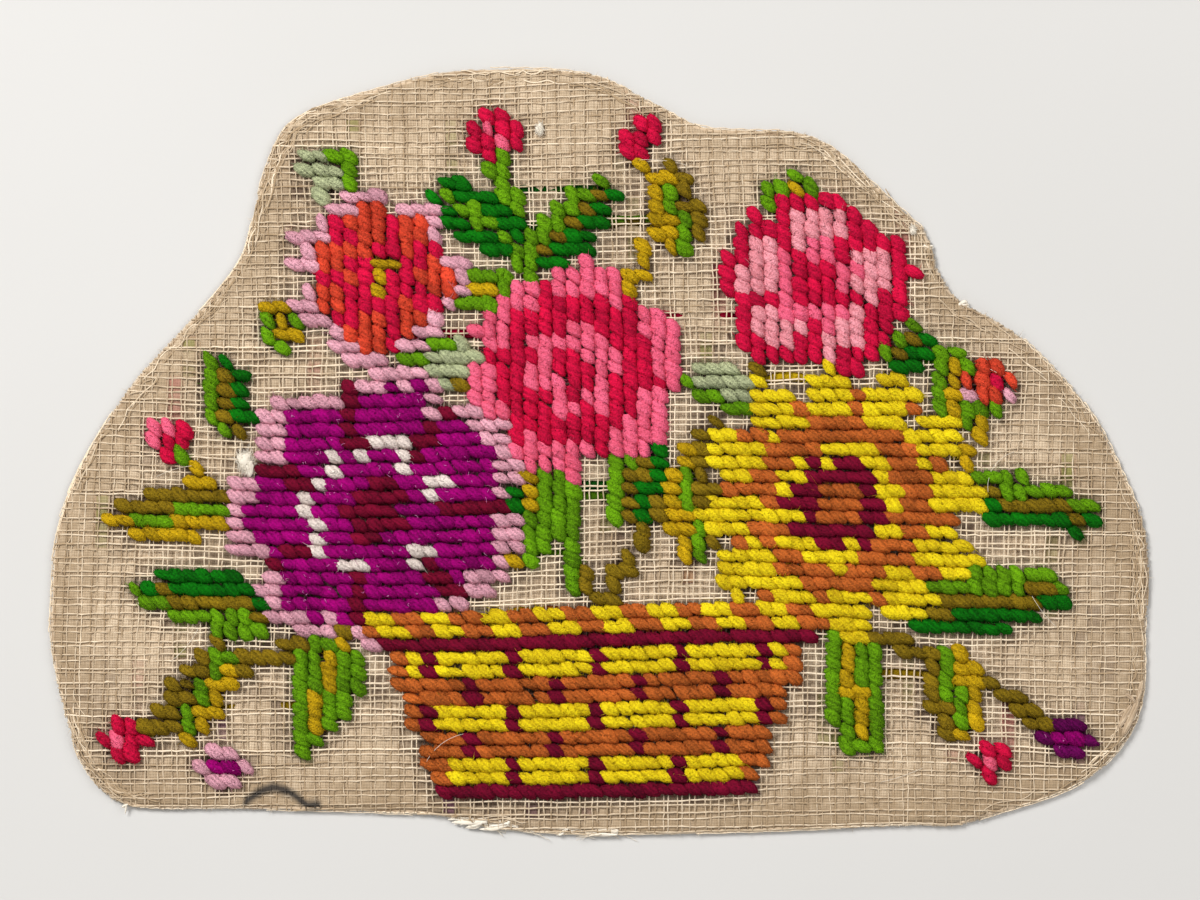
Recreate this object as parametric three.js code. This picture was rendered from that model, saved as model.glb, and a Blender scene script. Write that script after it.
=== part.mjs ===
// A needlework sampler lying flat: a canvas worked in wool, its edge turned under, on a plain backing cloth.
// Millimetres, +Z up. The origin is on the surface that it lies on, below the middle of its box.
import * as THREE from 'three';

// Driving dimensions
const STATIONS = 160; // points around every ring of the cloth
const BACKING_THICKNESS = 1.0;
const BACKING_INSET = 0.9; // the backing stops this far inside the folded edge of the canvas
const LAYER_GAP = 0.3; // air between the backing and the canvas
const MARGIN_THICKNESS = 1.0; // of the canvas where no wool is worked
const CANVAS_UNDERSIDE = BACKING_THICKNESS + LAYER_GAP;
const CANVAS_MIDDLE = { x: 0, y: -4 }; // the rings of the canvas shrink towards this point

// The cut outline, anticlockwise from the right-hand end, as corners of a smooth closed curve
const OUTLINE = [
  { x: 124.5, y: -27.0 },
  { x: 123.4, y: -16.5 },
  { x: 118.4, y: -4.0 },
  { x: 112.3, y: 7.8 },
  { x: 103.6, y: 18.3 },
  { x: 94.5, y: 26.8 },
  { x: 86.5, y: 31.7 },
  { x: 82.2, y: 33.8 },
  { x: 77.2, y: 40.2 },
  { x: 74.0, y: 49.6 },
  { x: 68.4, y: 55.2 },
  { x: 60.0, y: 63.0 },
  { x: 52.6, y: 69.4 },
  { x: 45.0, y: 72.6 },
  { x: 34.0, y: 73.1 },
  { x: 22.8, y: 74.0 },
  { x: 16.6, y: 77.0 },
  { x: 8.8, y: 81.0 },
  { x: 1.5, y: 84.8 },
  { x: -8.0, y: 86.7 },
  { x: -20.0, y: 87.0 },
  { x: -35.0, y: 86.3 },
  { x: -50.2, y: 82.7 },
  { x: -66.0, y: 77.6 },
  { x: -71.6, y: 73.8 },
  { x: -76.2, y: 64.4 },
  { x: -78.9, y: 53.2 },
  { x: -81.6, y: 44.4 },
  { x: -88.2, y: 35.2 },
  { x: -96.5, y: 26.2 },
  { x: -105.0, y: 17.0 },
  { x: -113.2, y: 5.2 },
  { x: -119.4, y: -6.4 },
  { x: -123.4, y: -18.4 },
  { x: -124.6, y: -32.0 },
  { x: -124.6, y: -44.0 },
  { x: -121.8, y: -58.2 },
  { x: -117.2, y: -71.4 },
  { x: -110.8, y: -78.6 },
  { x: -105.0, y: -80.5 },
  { x: -78.0, y: -81.0 },
  { x: -48.0, y: -81.8 },
  { x: -34.0, y: -82.8 },
  { x: -25.0, y: -85.0 },
  { x: 0.0, y: -86.8 },
  { x: 36.0, y: -86.1 },
  { x: 72.0, y: -84.7 },
  { x: 80.6, y: -84.8 },
  { x: 89.0, y: -82.4 },
  { x: 107.0, y: -76.2 },
  { x: 115.4, y: -70.2 },
  { x: 121.4, y: -61.8 },
  { x: 123.6, y: -53.0 },
  { x: 123.8, y: -40.0 },
];

// Section round the folded edge, from the underside to the top: inset from the outline, rise from the underside
const EDGE_FOLD = [
  { inset: 1.6, rise: 0.0 },
  { inset: 0.5, rise: 0.15 },
  { inset: 0.0, rise: 0.65 },
  { inset: 0.4, rise: 1.15 },
  { inset: 1.4, rise: 1.35 },
  { inset: 3.0, rise: 1.1 },
];

// Rings of the top from the edge to the middle, as shares of the way
const FIELD_RINGS = [0.08, 0.16, 0.25, 0.36, 0.48, 0.62, 0.8];

// Where wool is worked through the canvas it stands higher: an oval with a soft edge
const WORKED_FIELDS = [
  { x: 0, y: -24, halfWidth: 104, halfHeight: 52, rise: 1.1 },
  { x: -4, y: 34, halfWidth: 66, halfHeight: 44, rise: 1.0 },
];

// Soft cockles of the margin: an oval swelling or hollow
const COCKLES = [
  { x: 112, y: -62, halfWidth: 14, halfHeight: 18, rise: 0.45 },
  { x: -112, y: -58, halfWidth: 16, halfHeight: 26, rise: 0.3 },
  { x: -22, y: -78, halfWidth: 26, halfHeight: 12, rise: 0.35 },
  { x: 78, y: 30, halfWidth: 18, halfHeight: 16, rise: 0.3 },
  { x: -74, y: 48, halfWidth: 14, halfHeight: 26, rise: -0.15 },
  { x: 30, y: 66, halfWidth: 26, halfHeight: 10, rise: -0.15 },
];

// The outline as evenly spaced stations, centred on the origin, each with its outward normal
function edgeStations() {
  const corners = OUTLINE.map(({ x, y }) => new THREE.Vector3(x, y, 0));
  const curve = new THREE.CatmullRomCurve3(corners, true, 'centripetal');
  const points = curve.getSpacedPoints(STATIONS).slice(0, STATIONS);
  const middle = new THREE.Box3().setFromPoints(points).getCenter(new THREE.Vector3());
  points.forEach((point) => point.sub(middle));
  return points.map((point, i) => {
    const before = points[(i + STATIONS - 1) % STATIONS];
    const after = points[(i + 1) % STATIONS];
    const along = after.clone().sub(before).normalize();
    return { point, normal: new THREE.Vector3(along.y, -along.x, 0) };
  });
}

// A ring inside the outline, a given distance from it
function insetRing(stations, inset, z) {
  return stations.map(({ point, normal }) => point.clone().addScaledVector(normal, -inset).setZ(z));
}

// 1 in the middle of an oval, falling smoothly to 0 at its edge
function softOval({ x, y, halfWidth, halfHeight }, at) {
  const reach = Math.hypot((at.x - x) / halfWidth, (at.y - y) / halfHeight);
  return 1 - THREE.MathUtils.smoothstep(reach, 0.55, 1);
}

// Height of the canvas's top: the margin, the highest worked field there, and the cockles
function canvasTop(at) {
  const worked = Math.max(...WORKED_FIELDS.map((field) => field.rise * softOval(field, at)));
  const cockled = COCKLES.reduce((sum, cockle) => sum + cockle.rise * softOval(cockle, at), 0);
  return CANVAS_UNDERSIDE + MARGIN_THICKNESS + worked + cockled;
}

// A closed skin over rings that run from the underside round the edge to the top, with a point at both middles
function closedSkin(rings, underMiddle, topMiddle) {
  const points = [...rings.flat(), underMiddle, topMiddle];
  const under = points.length - 2;
  const top = points.length - 1;
  const faces = [];
  for (let i = 0; i < STATIONS; i += 1) {
    const next = (i + 1) % STATIONS;
    faces.push(under, next, i);
    for (let ring = 0; ring < rings.length - 1; ring += 1) {
      const low = ring * STATIONS;
      const high = low + STATIONS;
      faces.push(low + i, low + next, high + next);
      faces.push(low + i, high + next, high + i);
    }
    const last = (rings.length - 1) * STATIONS;
    faces.push(top, last + i, last + next);
  }
  const geometry = new THREE.BufferGeometry().setFromPoints(points);
  geometry.setIndex(faces);
  geometry.computeVertexNormals();
  return geometry;
}

// The backing: a flat cut of plain cloth, a little smaller than the canvas
function backingCloth(stations) {
  const cut = new THREE.Shape(insetRing(stations, BACKING_INSET, 0));
  const geometry = new THREE.ExtrudeGeometry(cut, { depth: BACKING_THICKNESS, bevelEnabled: false });
  const linen = new THREE.MeshStandardMaterial({ color: 0xc1a98b, roughness: 0.95, metalness: 0 });
  const mesh = new THREE.Mesh(geometry, linen);
  mesh.name = 'backing_cloth';
  return mesh;
}

// The canvas: flat below, with a rounded fold along its edge and a top that swells where it is worked
function canvasPanel(stations) {
  const fold = EDGE_FOLD.map(({ inset, rise }) => insetRing(stations, inset, CANVAS_UNDERSIDE + rise));
  const innermost = fold[fold.length - 1];
  const middle = new THREE.Vector3(CANVAS_MIDDLE.x, CANVAS_MIDDLE.y, 0);
  const field = FIELD_RINGS.map((share) => innermost.map((point) => {
    const inner = point.clone().lerp(middle, share);
    return inner.setZ(canvasTop(inner));
  }));
  const underMiddle = middle.clone().setZ(CANVAS_UNDERSIDE);
  const topMiddle = middle.clone().setZ(canvasTop(middle));
  const wool = new THREE.MeshStandardMaterial({ color: 0xb59a6e, roughness: 0.95, metalness: 0 });
  const mesh = new THREE.Mesh(closedSkin([...fold, ...field], underMiddle, topMiddle), wool);
  mesh.name = 'canvas_panel';
  return mesh;
}

const stations = edgeStations();
const sampler = new THREE.Group();
sampler.add(backingCloth(stations));
sampler.add(canvasPanel(stations));

export default sampler;
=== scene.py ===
# %% [markdown]
# # A needlework sampler, lying flat
# The real thing is a small piece of canvas work. An open canvas of paired threads carries wool
# stitches, its edge is turned under, and a plain backing cloth shows through the open windows.
# The CAD model holds one plain solid for each cloth. Their place and size stay, and this lesson
# builds what the eye sees around them: threads, stitches, the folded edge and its wear.

import bpy
import numpy as np
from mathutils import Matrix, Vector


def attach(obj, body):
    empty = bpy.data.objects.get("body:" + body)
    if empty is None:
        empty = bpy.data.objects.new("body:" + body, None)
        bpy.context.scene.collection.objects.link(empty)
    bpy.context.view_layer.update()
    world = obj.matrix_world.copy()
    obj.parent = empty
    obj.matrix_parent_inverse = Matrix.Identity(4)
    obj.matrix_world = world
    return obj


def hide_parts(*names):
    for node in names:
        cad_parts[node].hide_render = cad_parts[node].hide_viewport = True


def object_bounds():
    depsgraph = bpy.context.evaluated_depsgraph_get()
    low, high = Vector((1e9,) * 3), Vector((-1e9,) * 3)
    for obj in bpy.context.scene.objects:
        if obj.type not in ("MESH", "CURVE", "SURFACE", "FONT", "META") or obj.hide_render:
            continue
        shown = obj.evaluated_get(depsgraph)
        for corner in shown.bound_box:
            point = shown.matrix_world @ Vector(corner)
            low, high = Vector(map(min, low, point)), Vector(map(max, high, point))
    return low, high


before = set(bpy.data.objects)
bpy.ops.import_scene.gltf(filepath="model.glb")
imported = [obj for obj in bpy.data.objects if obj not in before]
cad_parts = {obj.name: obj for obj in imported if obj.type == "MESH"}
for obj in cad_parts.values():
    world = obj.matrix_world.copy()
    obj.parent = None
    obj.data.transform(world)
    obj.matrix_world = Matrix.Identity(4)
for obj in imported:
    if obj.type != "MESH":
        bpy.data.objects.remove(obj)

cad_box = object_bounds()
MM = 0.001  # lengths below are in millimetres, and meshes are in metres
low, high = (np.array(corner) / MM for corner in cad_box)
print("CAD box in mm:", low.round(1), high.round(1))

# %% [markdown]
# ## The cut outline
# The maker cut the canvas in a lobed, uneven shape and folded its edge under. The outline could be
# drawn again here, but the CAD canvas already has it: the ring of corners where the fold reaches
# furthest out. Reading it from the frame keeps both models on one outline.

# %% The outline as a closed curve
EDGE_HEIGHT = 1.95  # where the folded edge of the CAD canvas reaches furthest out
SAME_HEIGHT = 0.02  # corners this close to that height are on the edge
MIDDLE = np.array([0.0, -4.0])  # a point from which the whole outline can be seen
EDGE_POINTS = 1200  # places along the edge from which lengths and distances are measured
NUDGE = 5e-4  # share of the edge to either side of a place, to find its direction
TINY = 1e-9  # the least length that a vector is divided by


def node_corners(name):
    """Every different corner of a CAD node, in mm. Its mesh is loose triangles, so corners repeat."""
    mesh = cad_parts[name].data
    places = np.empty(len(mesh.vertices) * 3, np.float32)
    mesh.vertices.foreach_get("co", places)
    return np.unique(np.round(places.reshape(-1, 3) / MM, 3), axis=0)


corners = node_corners("canvas_panel")
rim = corners[np.abs(corners[:, 2] - EDGE_HEIGHT) < SAME_HEIGHT, :2]
rim = rim[np.argsort(np.arctan2(rim[:, 1] - MIDDLE[1], rim[:, 0] - MIDDLE[0]))]


def edge_at(share):
    """Point of the closed edge, share 0 to 1 of the way round: a Catmull-Rom blend of four corners."""
    place = np.asarray(share, float) % 1 * len(rim)
    first = np.floor(place).astype(int)
    t = (place - first)[..., None]
    a, b, c, d = (rim[(first + step) % len(rim)] for step in (-1, 0, 1, 2))
    bend = (2 * a - 5 * b + 4 * c - d) * t**2 + (3 * b - a - 3 * c + d) * t**3
    return 0.5 * (2 * b + (c - a) * t + bend)


def unit(vectors):
    """Vectors made one long, each divided by its length."""
    return vectors / np.maximum(np.linalg.norm(vectors, axis=-1, keepdims=True), TINY)


def edge_normal(share):
    """Outward direction of the edge: the step along it, turned a quarter clockwise."""
    along = unit(edge_at(np.asarray(share) + NUDGE) - edge_at(np.asarray(share) - NUDGE))
    return np.stack([along[..., 1], -along[..., 0]], axis=-1)


ring = edge_at(np.arange(EDGE_POINTS) / EDGE_POINTS)
onward = np.roll(ring, -1, axis=0)
edge_length = np.linalg.norm(onward - ring, axis=1).sum()

# %% [markdown]
# ## How far in from the edge
# Threads end at the fold, the backing stops inside it and the margin stays bare, so every piece asks
# how far a place lies in from the edge. Measuring to each edge point every time would be slow. A map
# of that distance is measured once, and places between its points are blended from four of them.

# %% The map of distances
MAP_STEP = 0.6
MAP_ROOM = 8.0  # how far the map goes past the outline
map_x = np.arange(low[0] - MAP_ROOM, high[0] + MAP_ROOM, MAP_STEP)
map_y = np.arange(low[1] - MAP_ROOM, high[1] + MAP_ROOM, MAP_STEP)


def measure_map():
    """Distance to the nearest edge point, less than 0 where a place is further out than the edge."""
    nearest = np.stack([np.hypot(map_x[:, None] - ring[:, 0], y - ring[:, 1]).min(1) for y in map_y])
    out = ring - MIDDLE
    across, up = np.meshgrid(map_x - MIDDLE[0], map_y - MIDDLE[1])
    angle = np.arctan2(out[:, 1], out[:, 0])
    reach = np.interp(np.arctan2(up, across), angle, np.hypot(*out.T), period=2 * np.pi)
    return np.where(np.hypot(across, up) < reach, nearest, -nearest)


edge_map = measure_map()


def blended(grid, column, row):
    """Value of a grid at places between its points: the four nearest, weighted by closeness."""
    column = np.clip(column, 0, grid.shape[1] - 1.001)
    row = np.clip(row, 0, grid.shape[0] - 1.001)
    c, r = np.floor(column).astype(int), np.floor(row).astype(int)
    s, t = column - c, row - r
    near = grid[r, c] * (1 - s) + grid[r, c + 1] * s
    far = grid[r + 1, c] * (1 - s) + grid[r + 1, c + 1] * s
    return near * (1 - t) + far * t


def inward(x, y):
    """Distance in from the edge, in mm."""
    return blended(edge_map, (x - map_x[0]) / MAP_STEP, (y - map_y[0]) / MAP_STEP)


def ramp(value, start, end):
    """0 before start, 1 after end, and a smooth S between them."""
    t = np.clip((value - start) / (end - start), 0, 1)
    return t * t * (3 - 2 * t)


print("map", edge_map.shape, "deepest place", edge_map.max().round(1), "mm in")

# %% [markdown]
# ## The chart
# Canvas work is counted: each stitch covers one crossing of the canvas. The design here is a basket
# of flowers, an ordinary motif of counted work, drawn from a few shapes. A bloom is a scalloped disc
# in rings of colour, a leaf a pointed oval in two tones, a stem a curve one stitch thick. Each shape
# is tested against all crossings at once and written over the ones before it.

# %% The empty chart and its wools
HALF_ACROSS, HALF_UP = 39, 28  # stitches either side of the middle
count_u, count_v = np.meshgrid(
    np.arange(-HALF_ACROSS, HALF_ACROSS + 1), np.arange(-HALF_UP, HALF_UP + 1)
)
chart = np.full(count_u.shape, ".")
unsteady = np.random.default_rng(11).uniform(-1, 1, count_u.shape)  # a hand's small slips in counting

# letter: name, colour as seen (red, green, blue of 255), which way its stitches close into ropes
WOOLS = {
    "Y": ("yellow", (237, 197, 22), "rows"),
    "R": ("rust", (184, 94, 38), "rows"),
    "M": ("maroon", (108, 8, 37), "rows"),
    "P": ("magenta", (143, 0, 99), "rows"),
    "L": ("pale_pink", (222, 158, 172), "rows"),
    "W": ("white_pink", (226, 204, 194), "rows"),
    "G": ("green", (97, 148, 12), "columns"),
    "D": ("dark_green", (10, 102, 9), "rows"),
    "O": ("olive", (126, 102, 17), "rows"),
    "U": ("mustard", (187, 150, 15), "rows"),
    "H": ("hot_pink", (255, 96, 126), "columns"),
    "C": ("crimson", (194, 14, 57), "columns"),
    "S": ("salmon", (252, 146, 156), "columns"),
    "E": ("grey_green", (174, 180, 138), "rows"),
    "T": ("tomato", (206, 66, 42), "columns"),
    "V": ("purple", (98, 4, 76), "rows"),
}
print("chart of", chart.size, "crossings,", len(WOOLS), "wools")

# %% Stems
STEMS = [
    # from, bending towards, to, wool, half thickness in stitches
    ((0, -12), (-6, 2), (-17, 14), "O", 0.5),
    ((0, -12), (6, 0), (15, 12), "O", 0.5),
    ((-2, -10), (-3, 10), (-8, 23), "G", 0.8),
    ((-12, -12), (-24, -8), (-30, 0), "U", 0.5),
    ((12, -12), (25, -8), (27, 3), "U", 0.5),
    ((-13, -13), (-24, -13), (-33, -21), "O", 0.6),
    ((13, -13), (24, -13), (33, -21), "O", 0.6),
    ((-2, 6), (6, 16), (3, 22), "U", 0.5),
]


def stem(start, towards, end, wool, half):
    """Crossings within half a thickness of a curve that leaves start towards a point and ends at end."""
    t = np.linspace(0, 1, 240)[:, None]
    line = (1 - t) ** 2 * np.array(start) + 2 * t * (1 - t) * np.array(towards) + t**2 * np.array(end)
    away = np.hypot(count_u[..., None] - line[:, 0], count_v[..., None] - line[:, 1]).min(axis=-1)
    chart[away <= half] = wool


for row in STEMS:
    stem(*row)
print("stems:", (chart != ".").sum(), "stitches")

# %% Leaves
LEAVES = [
    # base, tip, half width, upper tone, lower tone, vein
    ((-22, -12), (-33, -10), 2.2, "GDO"),
    ((-26, -14), (-30, -21), 1.8, "UOG"),
    ((-18, -13), (-21, -22), 2.2, "GGU"),
    ((22, -12), (34, -10), 2.2, "GDO"),
    ((25, -14), (26, -22), 1.9, "UOG"),
    ((18, -13), (19, -23), 2.0, "GGU"),
    ((-26, -4), (-35, -5), 2.0, "UOG"),
    ((-26, 1), (-28, 8), 1.8, "GDO"),
    ((25, 1), (25, 8), 1.8, "GGU"),
    ((26, -3), (36, -5), 2.0, "GDO"),
    ((-9, 8), (-17, 4), 2.0, "EGE"),
    ((6, 6), (13, 2), 1.8, "EGE"),
    ((-6, 15), (-12, 20), 1.9, "DDG"),
    ((-5, 14), (1, 20), 1.9, "GDO"),
    ((-19, 19), (-20, 23), 1.6, "EGE"),
    ((-13, 12), (-6, 12), 1.6, "GGU"),
    ((6, 14), (5, 21), 1.7, "UOG"),
    ((12, 17), (15, 20), 1.5, "GGU"),
    ((20, 6), (23, 9), 1.6, "GDO"),
    ((-22, 8), (-24, 12), 1.5, "GGU"),
    ((2, -6), (3, 2), 2.0, "GDO"),
    ((-6, -9), (-5, 0), 2.0, "DGU"),
    ((7, -9), (6, 0), 1.8, "UOG"),
]


def leaf(base, tip, half, tones):
    """Crossings inside a pointed oval about the line from base to tip, a tone on each side of its vein."""
    axis = np.subtract(tip, base).astype(float)
    length = np.hypot(*axis)
    axis /= length
    along = ((count_u - base[0]) * axis[0] + (count_v - base[1]) * axis[1]) / length
    beside = (count_v - base[1]) * axis[0] - (count_u - base[0]) * axis[1]
    reach = half * np.sqrt(np.clip(4 * along * (1 - along), 0, 1)) * (1.15 - 0.3 * along)
    within = (along > 0) & (along < 1) & (np.abs(beside) <= np.maximum(reach + 0.25 * unsteady, 0.4))
    chart[within & (beside >= 0)] = tones[0]
    chart[within & (beside < 0)] = tones[1]
    chart[within & (np.abs(beside) < 0.5) & (along < 0.85)] = tones[2]


for row in LEAVES:
    leaf(*row)
print("with leaves:", (chart != ".").sum(), "stitches")

# %% Blooms
BLOOMS = [
    # centre, radius, petals, turn, depth of the scallops, seam between petals and where it starts,
    # rings of colour from outside in
    ((-2, 6), 8.0, 6, 0.3, 0.20, "C", 0.55, ((1, "H"), (0.72, "C"), (0.42, "H"), (0.22, "C"))),
    ((15, 12), 7.0, 5, 0.2, 0.22, "C", 0.4, ((1, "C"), (0.78, "S"), (0.45, "H"), (0.25, "C"))),
    ((-16, 13), 6.6, 7, 0.0, 0.26, "C", 0.45, ((1, "L"), (0.8, "T"), (0.35, "C"), (0.18, "U"))),
    ((-16, -4), 10.8, 7, 0.5, 0.20, "M", 0.5,
     ((1, "L"), (0.86, "P"), (0.5, "W"), (0.42, "P"), (0.24, "M"))),
    ((17, -4), 10.5, 12, 0.1, 0.26, "R", 0.5,
     ((1, "Y"), (0.62, "R"), (0.46, "Y"), (0.36, "M"), (0.14, "R"))),
]


def bloom(centre, radius, petals, turn, depth, seam, seam_from, rings):
    """Crossings inside a circle whose radius dips between petals, coloured by share of that radius."""
    across, up = count_u - centre[0], count_v - centre[1]
    away, angle = np.hypot(across, up), np.arctan2(up, across)
    petal = np.abs(np.cos(petals * (angle - turn) / 2))
    share = away / (radius * (1 - depth * (1 - petal**0.7))) + 0.05 * unsteady
    for limit, wool in rings:
        chart[share < limit] = wool
    between = petal < petals * 0.28 / np.maximum(away, 1)
    chart[between & (share > seam_from) & (share < 0.97)] = seam


for row in BLOOMS:
    bloom(*row)
print("with blooms:", (chart != ".").sum(), "stitches")

# %% The basket and the small buds
BASKET = {"rim": -14, "foot": -25, "half_rim": 15, "half_foot": 11}
BUDS = [
    # left column, top row, a line of letters for each row of stitches
    (-9, 25, [".CC.", "CHCC", "CCHC", ".CG.", ".G.."]),
    (2, 24, [".CC", "CCC", "CC."]),
    (-32, 2, ["HHC.", "HCC.", ".CG."]),
    (26, 6, [".TT.", "TTCT", "LTTL", ".GG."]),
    (-35, -20, [".CC.", "CHCC", ".CC."]),
    (32, -20, [".VV.", "VPPV", ".VV."]),
    (-28, -22, [".LL.", "LPPL", ".LL."]),
    (27, -22, [".CC", "CHC", ".C."]),
]


def basket(rim, foot, half_rim, half_foot):
    """Bricks of two wools between flaring sides, each five stitches long and two rows high with a dark
    stake at its end, under a twisted rim and over a dark foot."""
    share = (count_v - foot) / (rim - foot)
    half = half_foot + (half_rim - half_foot) * np.clip(share, 0, 1) ** 0.7
    within = (share >= 0) & (share <= 1) & (np.abs(count_u) <= half)
    course = (count_v - foot - 1) // 2
    slid = count_u + 3 * course
    chart[within & (course % 2 == 0)] = "Y"
    chart[within & (course % 2 == 1)] = "R"
    chart[within & (slid % 6 == 0)] = "M"
    chart[within & (np.abs(count_u) > half - 1.3)] = "R"
    chart[within & ((count_v == foot) | (count_v == rim))] = "M"
    twist = (np.abs(count_u) <= half_rim + 1) & (count_v > rim) & (count_v <= rim + 2)
    chart[twist] = np.where((count_u + count_v) % 4 < 2, "Y", "R")[twist]


def bud(left, top, rows):
    """A bud given as a chart: each letter that isn't a dot is a stitch."""
    letters = np.array([list(line.ljust(max(map(len, rows)), ".")) for line in rows])[::-1]
    tall, wide = letters.shape
    first_row, first_column = top - tall + 1 + HALF_UP, left + HALF_ACROSS
    place = chart[first_row:first_row + tall, first_column:first_column + wide]
    place[letters != "."] = letters[letters != "."]


basket(**BASKET)
for row in BUDS:
    bud(*row)
worked = chart != "."
print("charted:", worked.sum(), "stitches of", worked.size, "crossings")

# %% [markdown]
# ## The canvas as a lattice
# Every thread and stitch sits on one lattice, counted in stitches from the middle. A real canvas is
# never quite square: it is pulled about while it is worked. Slow waves added to an even grid give that,
# and because all pieces use the same lattice they still meet. Where wool fills the canvas it stands off
# the backing, so its height follows a blurred copy of the chart.

# %% The lattice
PITCH_X, PITCH_Y = 3.18, 3.07  # eight stitches to the inch, a little closer up than across


def lattice(u, v):
    """Place of a crossing, in mm: an even grid, bent by slow waves of about a millimetre."""
    x, y = PITCH_X * u, PITCH_Y * v
    return (
        x + 0.8 * np.sin(y / 29 + 0.7) + 0.35 * np.sin((x - y) / 23),
        y + 0.9 * np.sin(x / 37 + 0.4) + 0.4 * np.sin((x + y) / 19 + 2),
    )


print("crossing at the upper right:", np.round(lattice(HALF_ACROSS, HALF_UP), 1), "mm from the middle")

# %% Worked ground and heights
MARGIN_HEIGHT = 1.55  # middle of the canvas in its bare margin
WORKED_RISE = 0.5
EDGE_LOW = 0.8  # where the canvas turns under
EDGE_BEND = 2.2  # how far in from the edge the turn begins
CLEAR_RIM = 2.0  # no stitch is nearer to the edge than this
COCKLES = [
    # x, y, half width, half height, rise: soft swellings of the cloth
    (112, -62, 14, 18, 0.35),
    (-112, -58, 16, 26, 0.25),
    (-22, -78, 26, 12, 0.30),
    (78, 30, 18, 16, 0.25),
    (-74, 48, 14, 26, -0.12),
    (30, 66, 26, 10, -0.12),
]


def softened(mask, passes):
    """A mask blurred by averaging each place with its neighbours, again and again."""
    soft = mask.astype(float)
    for _ in range(passes):
        for axis in (0, 1):
            soft = (np.roll(soft, 1, axis) + 2 * soft + np.roll(soft, -1, axis)) / 4
    return soft


ground = ramp(softened(worked, 4), 0.04, 0.55)


def worked_at(u, v):
    """How far the canvas is filled with wool near a place: 0 in the bare margin, 1 among stitches."""
    return blended(ground, u + HALF_ACROSS, v + HALF_UP)


def swelling(x, y):
    """Slow unevenness of the whole cloth: the cockles, plus two crossing ripples."""
    rise = 0.06 * np.sin(x / 11 + y / 17) * np.sin(y / 9 - x / 31)
    for at_x, at_y, half_x, half_y, lift in COCKLES:
        rise = rise + lift * (1 - ramp(np.hypot((x - at_x) / half_x, (y - at_y) / half_y), 0.4, 1))
    return rise


def canvas_height(u, v, x, y):
    """Middle of the canvas: the margin, raised where it is worked, and a quarter oval down at the edge."""
    flat = MARGIN_HEIGHT + WORKED_RISE * worked_at(u, v) + swelling(x, y)
    share = np.clip(inward(x, y) / EDGE_BEND, 0, 1)
    return EDGE_LOW + (flat - EDGE_LOW) * np.sqrt(1 - (1 - share) ** 2)


def resting(x, y, lift):
    """Height of a place on the canvas, with lift added."""
    return canvas_height(x / PITCH_X, y / PITCH_Y, x, y) + lift


inside = inward(*lattice(count_u, count_v)) > CLEAR_RIM
worked &= inside
print("stitches on the cloth:", worked.sum(), "crossings on the cloth:", inside.sum())

# %% [markdown]
# ## From arrays to meshes
# Threads, stitches and hairs are all strands: a small section carried along a path. One function makes
# thousands of them at once as a single array, and one function hands such arrays to Blender. Each
# strand is closed at both ends, and its faces point outwards.

# %% Strands
def strand_points(paths, half_width, half_height, sides):
    """Rings round many centre lines. paths is (strands, stations, 3), and each ring is an oval that
    stands across the path: its width lies level and its height is square to width and path."""
    along = unit(np.gradient(paths, axis=1))
    level = unit(np.stack([along[..., 1], -along[..., 0], np.zeros(along.shape[:2])], axis=-1))
    lift = np.cross(level, along)
    angle = 2 * np.pi * np.arange(sides) / sides
    width = (np.asarray(half_width)[..., None] * np.cos(angle))[..., None]
    height = (np.asarray(half_height)[..., None] * np.sin(angle))[..., None]
    return paths[:, :, None] + level[:, :, None] * width + lift[:, :, None] * height


def strand_faces(linked, starts, ends, sides):
    """Faces of strands whose rings lie one after another: four-sided faces between each linked pair of
    rings, and a cap over each start and end. linked is (pairs, 2), starts and ends are ring numbers."""
    side = np.arange(sides)
    after = (side + 1) % sides
    near, far = linked[:, :1] * sides, linked[:, 1:] * sides
    walls = np.stack([near + side, far + side, far + after, near + after], axis=-1).reshape(-1, 4)
    caps = np.concatenate([starts[:, None] * sides + side, ends[:, None] * sides + side[::-1]])
    return walls, caps


def even_strands(count, stations, sides):
    """strand_faces for strands that all have the same number of stations."""
    rings = np.arange(count * stations).reshape(count, stations)
    linked = np.stack([rings[:, :-1], rings[:, 1:]], axis=-1).reshape(-1, 2)
    return strand_faces(linked, rings[:, 0], rings[:, -1], sides)


def tubes(paths, half_width, half_height, sides):
    """Points and faces of closed strands along paths."""
    rings = strand_points(paths, half_width, half_height, sides)
    return rings.reshape(-1, 3), even_strands(len(paths), paths.shape[1], sides)


walls, caps = even_strands(1, 7, 8)
print("a strand of 7 stations and 8 sides:", len(walls), "walls and", len(caps), "caps")

# %% Short fibres, and sets joined into one
SKEW = (0.48, 0.6, 0.64)  # a direction that no fibre is likely to share


def spikes(root, reach, half):
    """Short fibres, each a thin three-sided spike from its root: three points round the root, square to
    the way that it reaches, and one at the tip. Four triangles close it."""
    heading = unit(reach)
    side = unit(np.cross(heading, SKEW))
    other = np.cross(heading, side)
    angle = (2 * np.pi * np.arange(3) / 3)[:, None]
    foot = root[:, None] + half * (np.cos(angle) * side[:, None] + np.sin(angle) * other[:, None])
    points = np.concatenate([foot, (root + reach)[:, None]], axis=1)
    faces = np.array([(0, 1, 3), (1, 2, 3), (2, 0, 3), (2, 1, 0)])
    return points.reshape(-1, 3), (4 * np.arange(len(root))[:, None, None] + faces).reshape(-1, 3)


def with_value(strands, values):
    """Points and faces of strands, and one value for each strand, repeated for all its points."""
    points, faces = strands
    return points, faces, np.repeat(values, len(points) // max(len(values), 1))


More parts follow.
